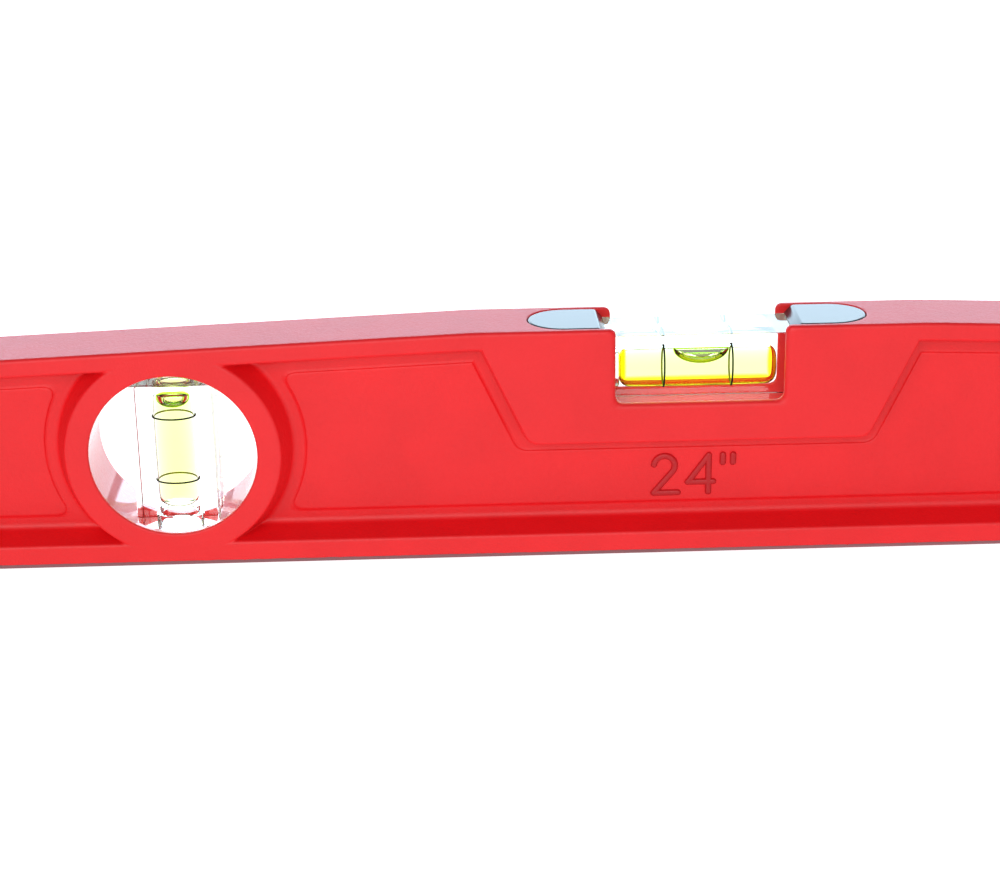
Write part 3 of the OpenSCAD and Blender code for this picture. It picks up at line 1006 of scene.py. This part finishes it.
    def _right_pocket(self, levels: PocketLevels, corner: float) -> Outline:
        """Pocket from the window's ring under the housing to the right end."""
        w = self._pocket_walls(levels)
        y = w["y"]
        kink = np.full_like(y, self.flat_half)
        top_ring = self._top_at(w["top_right"]) - w["drop"]
        stations = [
            placed(w["low_right"], y, w["low"]),
            placed(w["end"], y, w["low"]),
            placed(w["end"], y, self._top_at(w["end"]) - w["drop"]),
            placed(kink, y, w["top"]),
            placed(w["housing_top_x"], y, w["top"]),
            placed(w["housing_low_x"], y, w["housing_low"]),
            placed(-w["housing_low_x"], y, w["housing_low"]),
            placed(-w["housing_top_x"], y, w["top"]),
            placed(-kink, y, w["top"]),
            placed(w["top_right"], y, top_ring),
        ]
        runs: list[Straight | Bow] = [Straight(a, b) for a, b in zip(stations[:-1], stations[1:])]
        runs.append(self._bow_round_window(w, (w["top_right"], w["low_right"]), (top_ring, w["low"]), 0.0))
        end, upper, lower = self.end_corner, self.housing_upper_corner, self.housing_lower_corner
        return Outline(runs, [corner, end, end, 0.0, upper, lower, lower, upper, 0.0, corner])

    def _side_view(self, inward: dict[str, np.ndarray], y: dict[str, np.ndarray]) -> Outline:
        """Outline of the whole side with the notch, at levels given for each kind of wall.

        Args:
            inward: distance inside the true outline, for the base, ends, top and notch.
            y: place from front to back, for the same four.

        Returns:
            The outline, counter-clockwise from the left end of the base.
        """
        base, end, top, notch = inward["base"], inward["end"], inward["top"], inward["notch"]
        far = self.half_length - end
        far_top = self._top_at(far) - top
        level_top = self.height - top
        notch_x = self.notch_half + notch
        floor = self.sill - notch
        kink = np.full_like(end, self.flat_half)
        split = np.full_like(end, self.cap_straight)

        def run(kind: str, x0: np.ndarray, z0: np.ndarray, x1: np.ndarray, z1: np.ndarray) -> Straight:
            """Straight run at the places that its kind of wall has."""
            return Straight(placed(x0, y[kind], z0), placed(x1, y[kind], z1))

        runs = [
            run("base", -far, base, far, base),
            run("end", far, base, far, far_top),
            run("top", far, far_top, kink, level_top),
            run("top", kink, level_top, split, level_top),
            run("top", split, level_top, notch_x, level_top),
            run("notch", notch_x, level_top, notch_x, floor),
            run("notch", notch_x, floor, -notch_x, floor),
            run("notch", -notch_x, floor, -notch_x, level_top),
            run("top", -notch_x, level_top, -split, level_top),
            run("top", -split, level_top, -kink, level_top),
            run("top", -kink, level_top, -far, far_top),
            run("end", -far, far_top, -far, base),
        ]
        half = [
            self.base_corner, self.top_corner, self.kink_corner, 0.0, self.notch_top_corner, self.notch_corner
        ]
        return Outline(runs, [self.base_corner, *half, *half[:0:-1]])

    # ---- surfaces

    def _skin(self) -> Outline:
        """Rounded lips from the face to the outer surfaces, with the milled chamfer along the base."""
        bow = quarter()
        lips = {"end": self.end_lip, "top": self.top_lip, "notch": self.notch_lip}
        inward = {
            kind: np.concatenate([[lip + FLAT_MARGIN], lip * (1 - np.sin(bow)), [0.0]])
            for kind, lip in lips.items()
        }
        y = {
            kind: -self.face + np.concatenate([[0.0], lip * (1 - np.cos(bow)), [lip + FLAT_MARGIN]])
            for kind, lip in lips.items()
        }
        share = np.linspace(0.0, 1.0, len(bow))
        inward["base"] = np.concatenate([[self.chamfer + FLAT_MARGIN], self.chamfer * (1 - share), [0.0]])
        y["base"] = -self.face + np.concatenate([[0.0], self.chamfer * share, [self.chamfer + FLAT_MARGIN]])
        skin = self._side_view(inward, y)
        self.surface.both_grid(skin.points, FRONT, closed=True)
        return skin

    def _inner_rim(self) -> Outline:
        """Lip between the notch or the top and the wall of the slot."""
        bow = quarter(5)
        lip = self.slot_lip
        inward = np.concatenate([[0.0], lip * (1 - np.cos(bow)), [lip + FLAT_MARGIN]])
        y = -self.slot_half_y - np.concatenate([[lip + FLAT_MARGIN], lip * (1 - np.sin(bow)), [0.0]])
        kinds = ("base", "end", "top", "notch")
        return self._side_view({kind: inward for kind in kinds}, {kind: y for kind in kinds})

    def _tip_rim(self) -> np.ndarray:
        """Lip round the elliptical tip of a cap's pocket, and the wall below it.

        A point of the ellipse moves out along its normal by what is left of the lip, as it sinks.
        """
        bow = quarter(5)
        lip = self.slot_lip
        out = np.concatenate([[lip + FLAT_MARGIN], lip * (1 - np.sin(bow)), [0.0, 0.0]])[:, None]
        sunk = np.concatenate([[0.0], lip * (1 - np.cos(bow)), [lip + FLAT_MARGIN]])
        z = np.concatenate([self.height - sunk, [self.cap_floor]])[:, None]
        turn = np.linspace(-math.pi / 2, math.pi / 2, 33)[None, :]
        long, wide = self.cap_tip - self.cap_straight, self.slot_half_y
        normal = np.hypot(np.cos(turn) / long, np.sin(turn) / wide)
        x = self.cap_straight + long * np.cos(turn) + out * np.cos(turn) / long / normal
        y = wide * np.sin(turn) + out * np.sin(turn) / wide / normal
        return placed(x, y, z)

    def _build_outside(self) -> None:
        """Faces, lips, ends, top, base, notch and everything in the slot."""
        skin = self._skin()
        outer = skin.points[-1]
        rim = self._inner_rim()
        first, last = skin.first[4], skin.last[8]
        notch_front = skin.part(first, last)[-1]
        rim_part = rim.part(first, last)
        # Strips over the notch look up on the whole, because the sill and the tops of its sides do.
        self.surface.both_grid(np.stack([notch_front, rim_part[0]]), UP)
        self.surface.both_grid(rim_part, UP)
        count = outer.shape[0]
        for start, stop, side in ((skin.last[0], skin.first[3], RIGHT), (skin.last[9], count, LEFT)):
            band = skin.part(start, stop)[-1]
            rows = np.stack([band, band * BACK], axis=0)
            self.surface.grid(rows, side)
        self._build_top(outer[skin.first[3]], notch_front[0], rim_part[0, 0])
        self._build_slot(rim_part[-1])
        self._build_base(outer[skin.first[0]], outer[skin.last[0]])
        self._build_faces(skin.points[0])

    def _build_top(self, kink: np.ndarray, split: np.ndarray, rim_start: np.ndarray) -> None:
        """Flat top round each cap's pocket, with the pocket's tip and floor."""
        tip = self._tip_rim()
        over = np.array([-1.0, 1.0, 1.0])
        front_way = np.stack([kink, split, rim_start])
        patch = np.vstack([front_way, tip[0][1:-1], (front_way * BACK)[::-1]])
        floor_end = placed(self.slot_end, np.array([1, -1]) * self.slot_half_y, self.cap_floor)
        floor = np.vstack([tip[-1], floor_end])
        for side in (np.ones(3), over):
            self.surface.flat([patch * side], UP)
            self.surface.grid(tip * side, UP)
            self.surface.flat([floor * side], UP)

    def _build_slot(self, rim_inner: np.ndarray) -> None:
        """Walls, ends and floor of the slot that holds the level vial."""
        y = -self.slot_half_y
        under = placed(
            np.array([-self.cap_straight, -self.slot_end, -self.slot_end, self.slot_end, self.slot_end,
                      self.cap_straight]),
            y,
            np.array([self.cap_floor, self.cap_floor, self.slot_floor, self.slot_floor, self.cap_floor,
                      self.cap_floor]),
        )
        self.surface.both_flat([np.vstack([rim_inner, under])], -FRONT)
        span_y = np.array([-1.0, 1.0]) * self.slot_half_y
        for side in (-1.0, 1.0):
            span_z = np.array([self.slot_floor, self.cap_floor])[:, None]
            end = placed(side * self.slot_end, span_y[None, :], span_z)
            self.surface.grid(end, -side * RIGHT)
        floor = placed(np.array([-1.0, 1.0])[:, None] * self.slot_end, span_y[None, :], self.slot_floor)
        self.surface.grid(floor, UP)

    def _build_base(self, left: np.ndarray, right: np.ndarray) -> None:
        """Milled base with the bores of the magnets, each with a small chamfer."""
        outline = np.stack([left, right, right * BACK, left * BACK])
        bevel = self.bore_bevel
        circles = []
        for x in self.magnet_places:
            at = np.array([x, 0.0, 0.0])
            radii = (bevel + FLAT_MARGIN, bevel, 0.0, 0.0)
            heights = (0.0, 0.0, bevel, self.magnet_bore_depth)
            rows = np.stack([ring_of(self.magnet_bore + r, at + UP * z) for r, z in zip(radii, heights)])
            circles.append(rows[0])
            self.surface.grid(rows, DOWN, closed=True)
            self.surface.flat([rows[-1]], DOWN)
        self.surface.flat([outline, *circles], DOWN)

    def _build_faces(self, outline: np.ndarray) -> None:
        """Front and back faces with the pockets, the panels and the window."""
        levels, steps = self._pocket_levels(), self._panel_levels()
        openings = []
        for make in (self._left_pocket, self._right_pocket):
            wall, panel = make(levels, self.pocket_corner), make(steps, self.panel_corner)
            openings.append(wall.points[0])
            self.surface.both_grid(wall.points, FRONT, closed=True)
            self.surface.both_flat([wall.points[-1], panel.points[0]], FRONT)
            self.surface.both_grid(panel.points, FRONT, closed=True)
            self.surface.both_flat([panel.points[-1]], FRONT)
        openings.append(self._build_window())
        self.surface.both_flat([outline, *openings], FRONT)

    def _window_rows(self) -> np.ndarray:
        """Lip of the window: the radius shrinks to the bore's as the lip goes in, over every angle.

        The angles start at the right of the seat, run over the top to its left and then along its width, so
        that the seat's corners lie on them.
        """
        corner = math.asin(self.seat_half / self.window_r)
        foot = -math.pi / 2
        over_top = np.linspace(foot + corner, foot + 2 * math.pi - corner, self.window_steps)
        under = np.linspace(foot - corner, foot + corner, self.seat_steps + 2)[1:-1]
        turn = np.concatenate([over_top, under])[None, :]
        bow, lip = quarter(), self.window_lip
        out = np.concatenate([[lip + FLAT_MARGIN], lip * (1 - np.sin(bow)), [0.0]])[:, None]
        y = -self.face + np.concatenate([[0.0], lip * (1 - np.cos(bow)), [lip + FLAT_MARGIN]])[:, None]
        x = self.window_x + (self.window_r + out) * np.cos(turn)
        z = self.window_z + (self.window_r + out) * np.sin(turn)
        return placed(x, y, z)

    def _build_window(self) -> np.ndarray:
        """Window with its lips, its bore and the seat for the plumb vial at its foot.

        Returns:
            The window's outline on the front face.
        """
        rows = self._window_rows()
        self.surface.both_grid(rows, FRONT, closed=True)
        inner = rows[-1]
        over_top = inner[:self.window_steps]
        seat_row = over_top.copy()
        seat_row[:, 1] = -self.slot_half_y
        bore = np.stack([over_top, seat_row, seat_row * BACK, over_top * BACK])
        # The bore without its foot looks down on the whole, because only its crown has no opposite.
        self.surface.grid(bore, DOWN)
        foot = np.vstack([inner[self.window_steps - 1:], inner[:1]])
        edge = foot.copy()
        edge[:, 1] = -self.slot_half_y
        self.surface.both_grid(np.stack([foot, edge]), UP)
        left, right = edge[0], edge[-1]
        low_left = np.array([left[0], left[1], self.seat_floor])
        low_right = np.array([right[0], right[1], self.seat_floor])
        self.surface.both_flat([np.vstack([edge, [low_right, low_left]])], -FRONT)
        self.surface.grid(np.stack([[left, low_left], [left * BACK, low_left * BACK]]), RIGHT)
        self.surface.grid(np.stack([[right, low_right], [right * BACK, low_right * BACK]]), LEFT)
        self.surface.grid(np.stack([[low_left, low_right], [low_left * BACK, low_right * BACK]]), UP)
        return rows[0]

    # ---- size mark

    def _stroke(self, path: np.ndarray) -> None:
        """Adds one raised stroke of the size mark with round ends.

        Across the stroke the height is that of the panel plus a flattened bow, 1 - u^4, and its half-width
        shrinks in the ends as a circle does. The foot of the stroke is sunk in the panel.

        Args:
            path: centre line as (points, 2), in the plane of the face.
        """
        half = self.mark_stroke / 2
        ends = half * (1 - np.cos(quarter(5)))
        way = np.diff(path, axis=0)
        reach = np.concatenate([[0.0], np.cumsum(np.linalg.norm(way, axis=1))])
        total = reach[-1] + 2 * half
        inner = np.linspace(half, total - half, max(2, int(reach[-1] / 0.35)))
        at = np.concatenate([ends[:-1], inner, (total - ends)[:-1][::-1]])
        clamp = np.clip(at - half, 0.0, reach[-1])
        centre = np.stack([np.interp(clamp, reach, path[:, k]) for k in (0, 1)], axis=-1)
        tangent = np.gradient(centre, axis=0)
        first, final = way[0] / np.linalg.norm(way[0]), way[-1] / np.linalg.norm(way[-1])
        tangent[at < half + 0.01] = first
        tangent[at > total - half - 0.01] = final
        tangent /= np.linalg.norm(tangent, axis=1, keepdims=True)
        centre = centre + tangent * (at - half - clamp)[:, None]
        past = np.abs(at - half - clamp) / half
        width = half * np.sqrt(np.maximum(0.0, 1 - past**2))
        across = np.stack([-tangent[:, 1], tangent[:, 0]], axis=-1)
        u = np.linspace(-1.0, 1.0, 11)[None, :]
        base = -self.web / 2 - self.panel_raise
        rise = self.panel_raise * (1 - u**4) * (1 - past[:, None] ** 4)
        x = centre[:, :1] + across[:, :1] * width[:, None] * u
        z = centre[:, 1:] + across[:, 1:] * width[:, None] * u
        top = placed(x, base - rise, z)
        foot = placed(x, base + self.mark_sunk, z)[:, ::-1]
        self.surface.grid(np.concatenate([top, foot], axis=1), None, closed=True)

    def _build_size_mark(self) -> None:
        """Raised 24 and inch mark under the housing, from plain strokes on their centre lines."""
        tall, half = self.mark_height, self.mark_stroke / 2
        pitch = tall * 0.74
        origin = np.array([-pitch * 1.32, self.mark_foot])
        bowl = tall * 0.3 - half
        bowl_centre = np.array([tall * 0.3, tall * 0.7])
        turn = np.radians(np.linspace(172, -32, 30))
        arc = bowl_centre + bowl * np.stack([np.cos(turn), np.sin(turn)], axis=-1)
        two = np.vstack([arc, [[half + 0.2, half + 0.3]]])
        two_foot = np.array([[half, half], [tall * 0.6, half]])
        stem = tall * 0.45 + half
        bar = tall * 0.24 + half
        four = [
            np.array([[stem, half], [stem, tall - half]]),
            np.array([[half, bar], [tall * 0.7 - half, bar]]),
            np.array([[half + 0.1, bar], [stem, tall - half]]),
        ]
        for path in (two, two_foot):
            self._stroke(path + origin)
        for path in four:
            self._stroke(path + origin + [pitch, 0.0])
        for k in (0, 1):
            tick_x = pitch * (2.12 + 0.3 * k)
            self._stroke(np.array([[tick_x, tall * 0.75], [tick_x, tall - half]]) + origin)

    def build(self) -> None:
        """Builds the casting and puts it in the CAD casting's place."""
        self._build_outside()
        self._build_size_mark()
        name, node = "beam_casting_detailed", "beam_casting"
        self.surface.piece(name, Body.BEAM, "powder_coated_casting", [node], POWDER_COAT)


@dataclass
class Vial:
    """What the two vials share: a clear block round a barrel-ground bore, liquid, bubble, rings and plug."""

    prefix: str
    axis: Axis
    bubble_body: Body
    ring_nodes: tuple[str, str]
    liquid: Finish
    ink: Finish
    polish: float = 0.3
    bed_gap: float = 0.02
    bed_edge: float = 0.15
    plug_edge: float = 0.25
    bore: float = 5.3
    sag: float = 0.15
    film: float = 0.02
    plug_flange: float = 3.3
    pin_hole: float = 0.45
    pin_offset: float = 2.4

    def _node(self, part: str) -> str:
        """Name of one of this vial's CAD nodes."""
        return f"{self.prefix}_{part}"

    def _axis_index(self) -> int:
        """Number of the coordinate that the vial runs along."""
        return 0 if self.axis is Axis.ALONG_BEAM else 2

    def _centre(self, part: str) -> np.ndarray:
        """Middle of one of this vial's CAD nodes."""
        low, high = cad_corners(self._node(part))
        return (low + high) / 2

    def build_block(self) -> None:
        """Polished block, a film above its bed so that light turns back at its foot."""
        low, high = cad_corners(self._node("block"))
        surface = Surface()
        add_rounded_box(surface, low + UP * self.bed_gap, high, self.polish)
        name, node = self._node("polished_block"), self._node("block")
        surface.piece(name, Body.BEAM, "clear_acrylic", [node], ACRYLIC)

    def build_bed(self) -> None:
        """Bed of adhesive with a soft edge."""
        low, high = cad_corners(self._node("adhesive"))
        surface = Surface()
        add_rounded_box(surface, low, high, self.bed_edge)
        surface.piece(self._node("adhesive_bed"), Body.BEAM, "adhesive", [self._node("adhesive")], ADHESIVE)

    def build_liquid(self) -> None:
        """Liquid: radius falls with the square of the distance from the middle, and the ends are round."""
        low, high = cad_corners(self._node("liquid"))
        axis = self._axis_index()
        half = float(high[axis] - low[axis]) / 2
        corner = self.bore / 2
        bow = quarter(9)
        end_r = self.bore - self.sag
        along = np.linspace(-1.0, 1.0, 25)[1:-1] * (half - corner)
        radius = self.bore - self.sag * (along / half) ** 2
        first = np.stack([end_r - corner * (1 - np.sin(bow)), -half + corner * (1 - np.cos(bow))], axis=-1)
        profile = np.vstack([[[0.0, -half]], first, np.stack([radius, along], axis=-1), first[::-1] * [1, -1],
                             [[0.0, half]]])
        surface = Surface()
        surface.grid(revolved(profile, (low + high) / 2, self.axis), None, closed=True)
        name, node = self._node("liquid_fill"), self._node("liquid")
        surface.piece(name, Body.BEAM, "vial_liquid", [node], self.liquid)

    def build_rings(self) -> None:
        """Black sight rings with rounded shoulders in the wall of the bore."""
        axis = self._axis_index()
        for node in self.ring_nodes:
            low, high = cad_corners(node)
            width = float(high[axis] - low[axis])
            outer = float(high[1] - low[1]) / 2
            inner = self.bore
            thick = outer - inner
            turn = np.linspace(0.0, 2 * math.pi, 16, endpoint=False)
            radius = (outer + inner) / 2 + thick / 2 * np.cos(turn)
            profile = np.stack([radius, width / 2 * np.sin(turn)], axis=-1)
            profile = np.vstack([profile, profile[:1]])
            surface = Surface()
            surface.grid(revolved(profile, (low + high) / 2, self.axis, 128), None, closed=True)
            surface.piece(node + "_line", Body.BEAM, "ring_ink", [node], self.ink)

    def build_plug(self) -> None:
        """Plug with a rounded flange, a spigot and two spanner holes in its outer face."""
        low, high = cad_corners(self._node("plug"))
        axis = self._axis_index()
        length = float(high[axis] - low[axis])
        flange_r = float(high[1] - low[1]) / 2
        spigot_r = self.bore - self.sag - self.film
        edge = self.plug_edge
        bow = quarter(5)
        profile = np.vstack([
            [[flange_r - edge - FLAT_MARGIN, 0.0]],
            np.stack([flange_r - edge * (1 - np.sin(bow)), edge * (1 - np.cos(bow))], axis=-1),
            [[flange_r, self.plug_flange - edge]],
            [[flange_r - edge, self.plug_flange]],
            [[spigot_r, self.plug_flange]],
            [[spigot_r, length - edge]],
            [[spigot_r - edge, length]],
            [[0.0, length]],
        ])
        foot = (low + high) / 2
        foot[axis] = low[axis]
        rows = revolved(profile, foot, self.axis)
        outward = LEFT if self.axis is Axis.ALONG_BEAM else DOWN
        surface = Surface()
        surface.grid(rows, outward, closed=True)
        circles = []
        for side in (-1.0, 1.0):
            away = np.array([0.0, side, 0.0]) if self.axis is Axis.ALONG_BEAM else np.array([side, 0.0, 0.0])
            hole = np.array([[self.pin_hole, 0.0], [self.pin_hole * 0.8, self.plug_flange / 2]])
            walls = revolved(hole, foot + away * self.pin_offset, self.axis, 24)
            circles.append(walls[0])
            surface.grid(walls, outward, closed=True)
            surface.flat([walls[-1]], outward)
        surface.flat([rows[0], *circles], outward)
        surface.piece(self._node("clear_plug"), Body.BEAM, "clear_plug", [self._node("plug")], PLUG)

    def build_bubble(self) -> None:
        """Makes the bubble."""
        raise NotImplementedError

    def build(self) -> None:
        """Builds the vial's pieces in the order in which they go together."""
        self.build_bed()
        self.build_block()
        self.build_rings()
        self.build_liquid()
        self.build_plug()
        self.build_bubble()


@dataclass
class LevelVial(Vial):
    """Vial that lies along the beam, its bubble under the crown of the bore."""

    underside: float = 4.2
    crown_gap: float = 0.3

    def build_bubble(self) -> None:
        """Bubble between the crown of the bore and a bowl-shaped underside.

        At each place along the bubble its section is the part of a circle that lies inside the crown's
        circle. The section is drawn round a point midway between its top and its foot, at the smaller of the
        two distances to the circles in each direction.
        """
        low, high = cad_corners(self._node("bubble"))
        axis_z = self._centre("liquid")[2]
        half = float(high[0] - low[0]) / 2
        middle_x = float(low[0] + high[0]) / 2
        bowl_z = float(low[2]) + self.underside
        crown = self.bore - self.crown_gap
        share = -np.cos(np.linspace(0.0, math.pi, 49))[:, None]
        turn = np.linspace(0.0, 2 * math.pi, 64, endpoint=False)[None, :]
        bowl = self.underside * np.sqrt(np.maximum(0.0, 1 - share**2))
        foot = bowl_z - bowl
        top = np.minimum(bowl_z + bowl, axis_z + crown)
        mid = (foot + top) / 2

        def reach(centre_z: float, radius: np.ndarray | float) -> np.ndarray:
            """Distance from the middle point to a circle, in each direction."""
            drop = mid - centre_z
            return -drop * np.sin(turn) + np.sqrt(np.maximum(0.0, radius**2 - (drop * np.cos(turn)) ** 2))

        distance = np.minimum(reach(bowl_z, bowl), reach(axis_z, crown))
        rows = placed(middle_x + half * share, distance * np.cos(turn), mid + distance * np.sin(turn))
        surface = Surface()
        surface.grid(rows, None, closed=True)
        surface.piece(self._node("air_bubble"), self.bubble_body, "bubble", [self._node("bubble")], AIR)


@dataclass
class PlumbVial(Vial):
    """Vial that stands in the window, its bubble at the top of the bore."""

    dome: float = 1.3
    bowl: float = 2.6

    def build_bubble(self) -> None:
        """Bubble with a low dome above and a deeper bowl below, both quarter ellipses in profile."""
        low, high = cad_corners(self._node("bubble"))
        radius = float(high[0] - low[0]) / 2
        bow = quarter(15)
        bottom = np.stack([radius * np.sin(bow), low[2] + self.bowl * (1 - np.cos(bow))], axis=-1)
        top = np.stack([radius * np.cos(bow), high[2] - self.dome * (1 - np.sin(bow))], axis=-1)
        centre = (low + high) / 2 * [1, 1, 0]
        surface = Surface()
        surface.grid(revolved(np.vstack([bottom, top]), centre, self.axis), None, closed=True)
        surface.piece(self._node("air_bubble"), self.bubble_body, "bubble", [self._node("bubble")], AIR)


@dataclass
class RetainerCaps:
    """Two caps over the ends of the level vial's block."""

    straight: float = 33.4
    foot_x: float = 23.2
    slope: float = 1.8
    body_x: float = 27.0
    ledge: float = 58.4
    lip: float = 0.45
    corner: float = 0.6
    sunk: float = 0.05

    def _cap(self, half_y: float, tip: float, low: float, top: float) -> tuple[np.ndarray, np.ndarray]:
        """Right-hand cap as levels of one outline.

        Every level is the cap's outline, moved in by what is left of the lip. The inner end leans out below
        the top, steps back under the ledge and then goes straight down.

        Returns:
            Levels, and the flat top's own outline.
        """
        bow = quarter()
        inward = np.concatenate([[self.lip + FLAT_MARGIN], self.lip * (1 - np.sin(bow)), [0.0, 0.0, 0.0]])
        z = np.concatenate([[top], top - self.lip * (1 - np.cos(bow)), [self.ledge, self.ledge, low]])
        lean = np.clip((top - z) / (top - self.ledge), 0.0, 1.0)
        inner = self.foot_x + self.slope * (1 - lean) + inward
        inner[-2:] = self.body_x
        turn = np.linspace(-math.pi / 2, math.pi / 2, 41)[None, :]
        long = tip - self.straight
        x_tip = self.straight + (long - inward[:, None]) * np.cos(turn)
        y_tip = (half_y - inward[:, None]) * np.sin(turn)
        corner = self.corner
        side = half_y - inward[:, None]
        bend = quarter(5)[None, :]
        x_back = inner[:, None] + corner * (1 - np.cos(bend))
        y_back = side - corner * (1 - np.sin(bend))
        x = np.concatenate([x_tip, x_back[:, ::-1], x_back], axis=1)
        y = np.concatenate([y_tip, y_back[:, ::-1], -y_back], axis=1)
        rows = placed(x, y, z[:, None])
        return rows, rows[0]

    def build(self) -> None:
        """Builds both caps, the left one as the right one's mirror image."""
        for name, side in (("left", -1.0), ("right", 1.0)):
            node = f"retainer_cap_{name}"
            low, high = cad_corners(node)
            tip = float(max(abs(low[0]), abs(high[0])))
            rows, top = self._cap(float(high[1]), tip, float(low[2]), float(high[2]) - self.sunk)
            over = np.array([side, 1.0, 1.0])
            surface = Surface()
            surface.grid(rows * over, UP, closed=True)
            surface.flat([top * over], UP)
            surface.flat([rows[-1] * over], DOWN)
            surface.piece(f"{node}_moulded", Body.BEAM, "cap_plastic", [node], CAP_PLASTIC)


@dataclass
class Magnets:
    """Disc magnets pressed into the base, plated, with rounded edges."""

    places: tuple = ("left_outer", "left_inner", "right_inner", "right_outer")
    edge: float = 0.35

    def build(self) -> None:
        """Each magnet is a rounded rectangle turned about its axis."""
        for place in self.places:
            node = f"magnet_{place}"
            low, high = cad_corners(node)
            radius, tall = float(high[0] - low[0]) / 2, float(high[2] - low[2])
            bow, edge = quarter(5), self.edge
            foot = np.stack([radius - edge * (1 - np.sin(bow)), edge * (1 - np.cos(bow))], axis=-1)
            head = np.stack([foot[::-1, 0], tall - foot[::-1, 1]], axis=-1)
            profile = np.vstack([[[0.0, 0.0]], [[radius - edge - FLAT_MARGIN, 0.0]], foot, head,
                                 [[radius - edge - FLAT_MARGIN, tall]], [[0.0, tall]]])
            centre = (low + high) / 2
            centre[2] = low[2]
            surface = Surface()
            surface.grid(revolved(profile, centre, Axis.UPRIGHT), None, closed=True)
            surface.piece(f"{node}_plated", Body.BEAM, "magnet_plating", [node], NICKEL)


@dataclass
class Studio:
    """Pale floor, soft light and camera."""

    floor_half: float = 12.0
    camera_place: tuple = (-63.1, -517.2, 225.0)
    pitch: float = math.radians(20.67)
    yaw: float = math.radians(1.47)
    roll: float = math.radians(0.85)
    lens: float = 77.94

    def _floor(self) -> None:
        """Wide floor, a touch below the base."""
        half = self.floor_half
        mesh = bpy.data.meshes.new("studio_floor")
        corners = [(-half, -half, 0), (half, -half, 0), (half, half, 0), (-half, half, 0)]
        mesh.from_pydata([(x, y, -0.00005) for x, y, _ in corners], [], [(0, 1, 2, 3)])
        mesh.materials.append(PaleFloor().material())
        floor = bpy.data.objects.new("studio_floor", mesh)
        bpy.context.scene.collection.objects.link(floor)

    def _light(self, name: str, place: tuple, aim: tuple, size: tuple, power: float, tint: tuple) -> None:
        """Rectangular soft light that looks at a point."""
        data = bpy.data.lights.new(name, "AREA")
        data.shape = "RECTANGLE"
        data.size, data.size_y = size
        data.energy = power
        data.color = tint
        lamp = bpy.data.objects.new(name, data)
        way = Vector(aim) - Vector(place)
        lamp.matrix_world = Matrix.Translation(place) @ way.to_track_quat("-Z", "Y").to_matrix().to_4x4()
        bpy.context.scene.collection.objects.link(lamp)

    def _world(self) -> None:
        """Even white surroundings."""
        world = bpy.data.worlds.new("studio")
        world.use_nodes = True
        background = world.node_tree.nodes["Background"]
        background.inputs["Color"].default_value = colour(1.0, 1.0, 1.0)
        background.inputs["Strength"].default_value = 0.35
        bpy.context.scene.world = world
        bpy.context.scene.view_settings.view_transform = "Standard"

    def _camera(self) -> None:
        """Camera from its place and its pitch, yaw and roll.

        It looks along (sin yaw cos pitch, cos yaw cos pitch, -sin pitch), its right is level, and both its
        right and its up are then turned about the line of sight by the roll.
        """
        data = bpy.data.cameras.new("camera")
        data.lens = self.lens
        data.sensor_width = 36.0
        data.clip_start = 0.01
        ahead = Vector((math.sin(self.yaw) * math.cos(self.pitch), math.cos(self.yaw) * math.cos(self.pitch),
                        -math.sin(self.pitch)))
        right = Vector((math.cos(self.yaw), -math.sin(self.yaw), 0.0))
        above = right.cross(ahead)
        turned = right * math.cos(self.roll) - above * math.sin(self.roll)
        upright = above * math.cos(self.roll) + right * math.sin(self.roll)
        camera = bpy.data.objects.new("camera", data)
        turn = Matrix((turned, upright, -ahead)).transposed().to_4x4()
        camera.matrix_world = Matrix.Translation(Vector(self.camera_place) * MM) @ turn
        bpy.context.scene.collection.objects.link(camera)
        bpy.context.scene.camera = camera

    def build(self) -> None:
        """Sets up the floor, the lights, the surroundings and the camera."""
        self._floor()
        self._world()
        self._light("light_behind", (0.0, 1.7, 0.62), (0.0, 0.0, 0.0), (3.4, 0.9), 48.0, (0.62, 0.83, 1.0))
        self._light("light_front", (-0.3, -1.5, 0.75), (0.0, 0.0, 0.03), (1.6, 0.8), 14.0, (1.0, 1.0, 1.0))
        self._camera()


def main() -> None:
    """Builds everything in order."""
    logging.basicConfig(level=logging.INFO, format="%(message)s")
    Studio().build()
    BeamCasting().build()
    LevelVial("level_vial", Axis.ALONG_BEAM, Body.LEVEL_BUBBLE,
              ("level_vial_ring_left", "level_vial_ring_right"), LEVEL_LIQUID, LEVEL_INK).build()
    PlumbVial("plumb_vial", Axis.UPRIGHT, Body.PLUMB_BUBBLE,
              ("plumb_vial_ring_lower", "plumb_vial_ring_upper"), PLUMB_LIQUID, PLUMB_INK).build()
    RetainerCaps().build()
    Magnets().build()


if __name__ == "__main__":
    main()
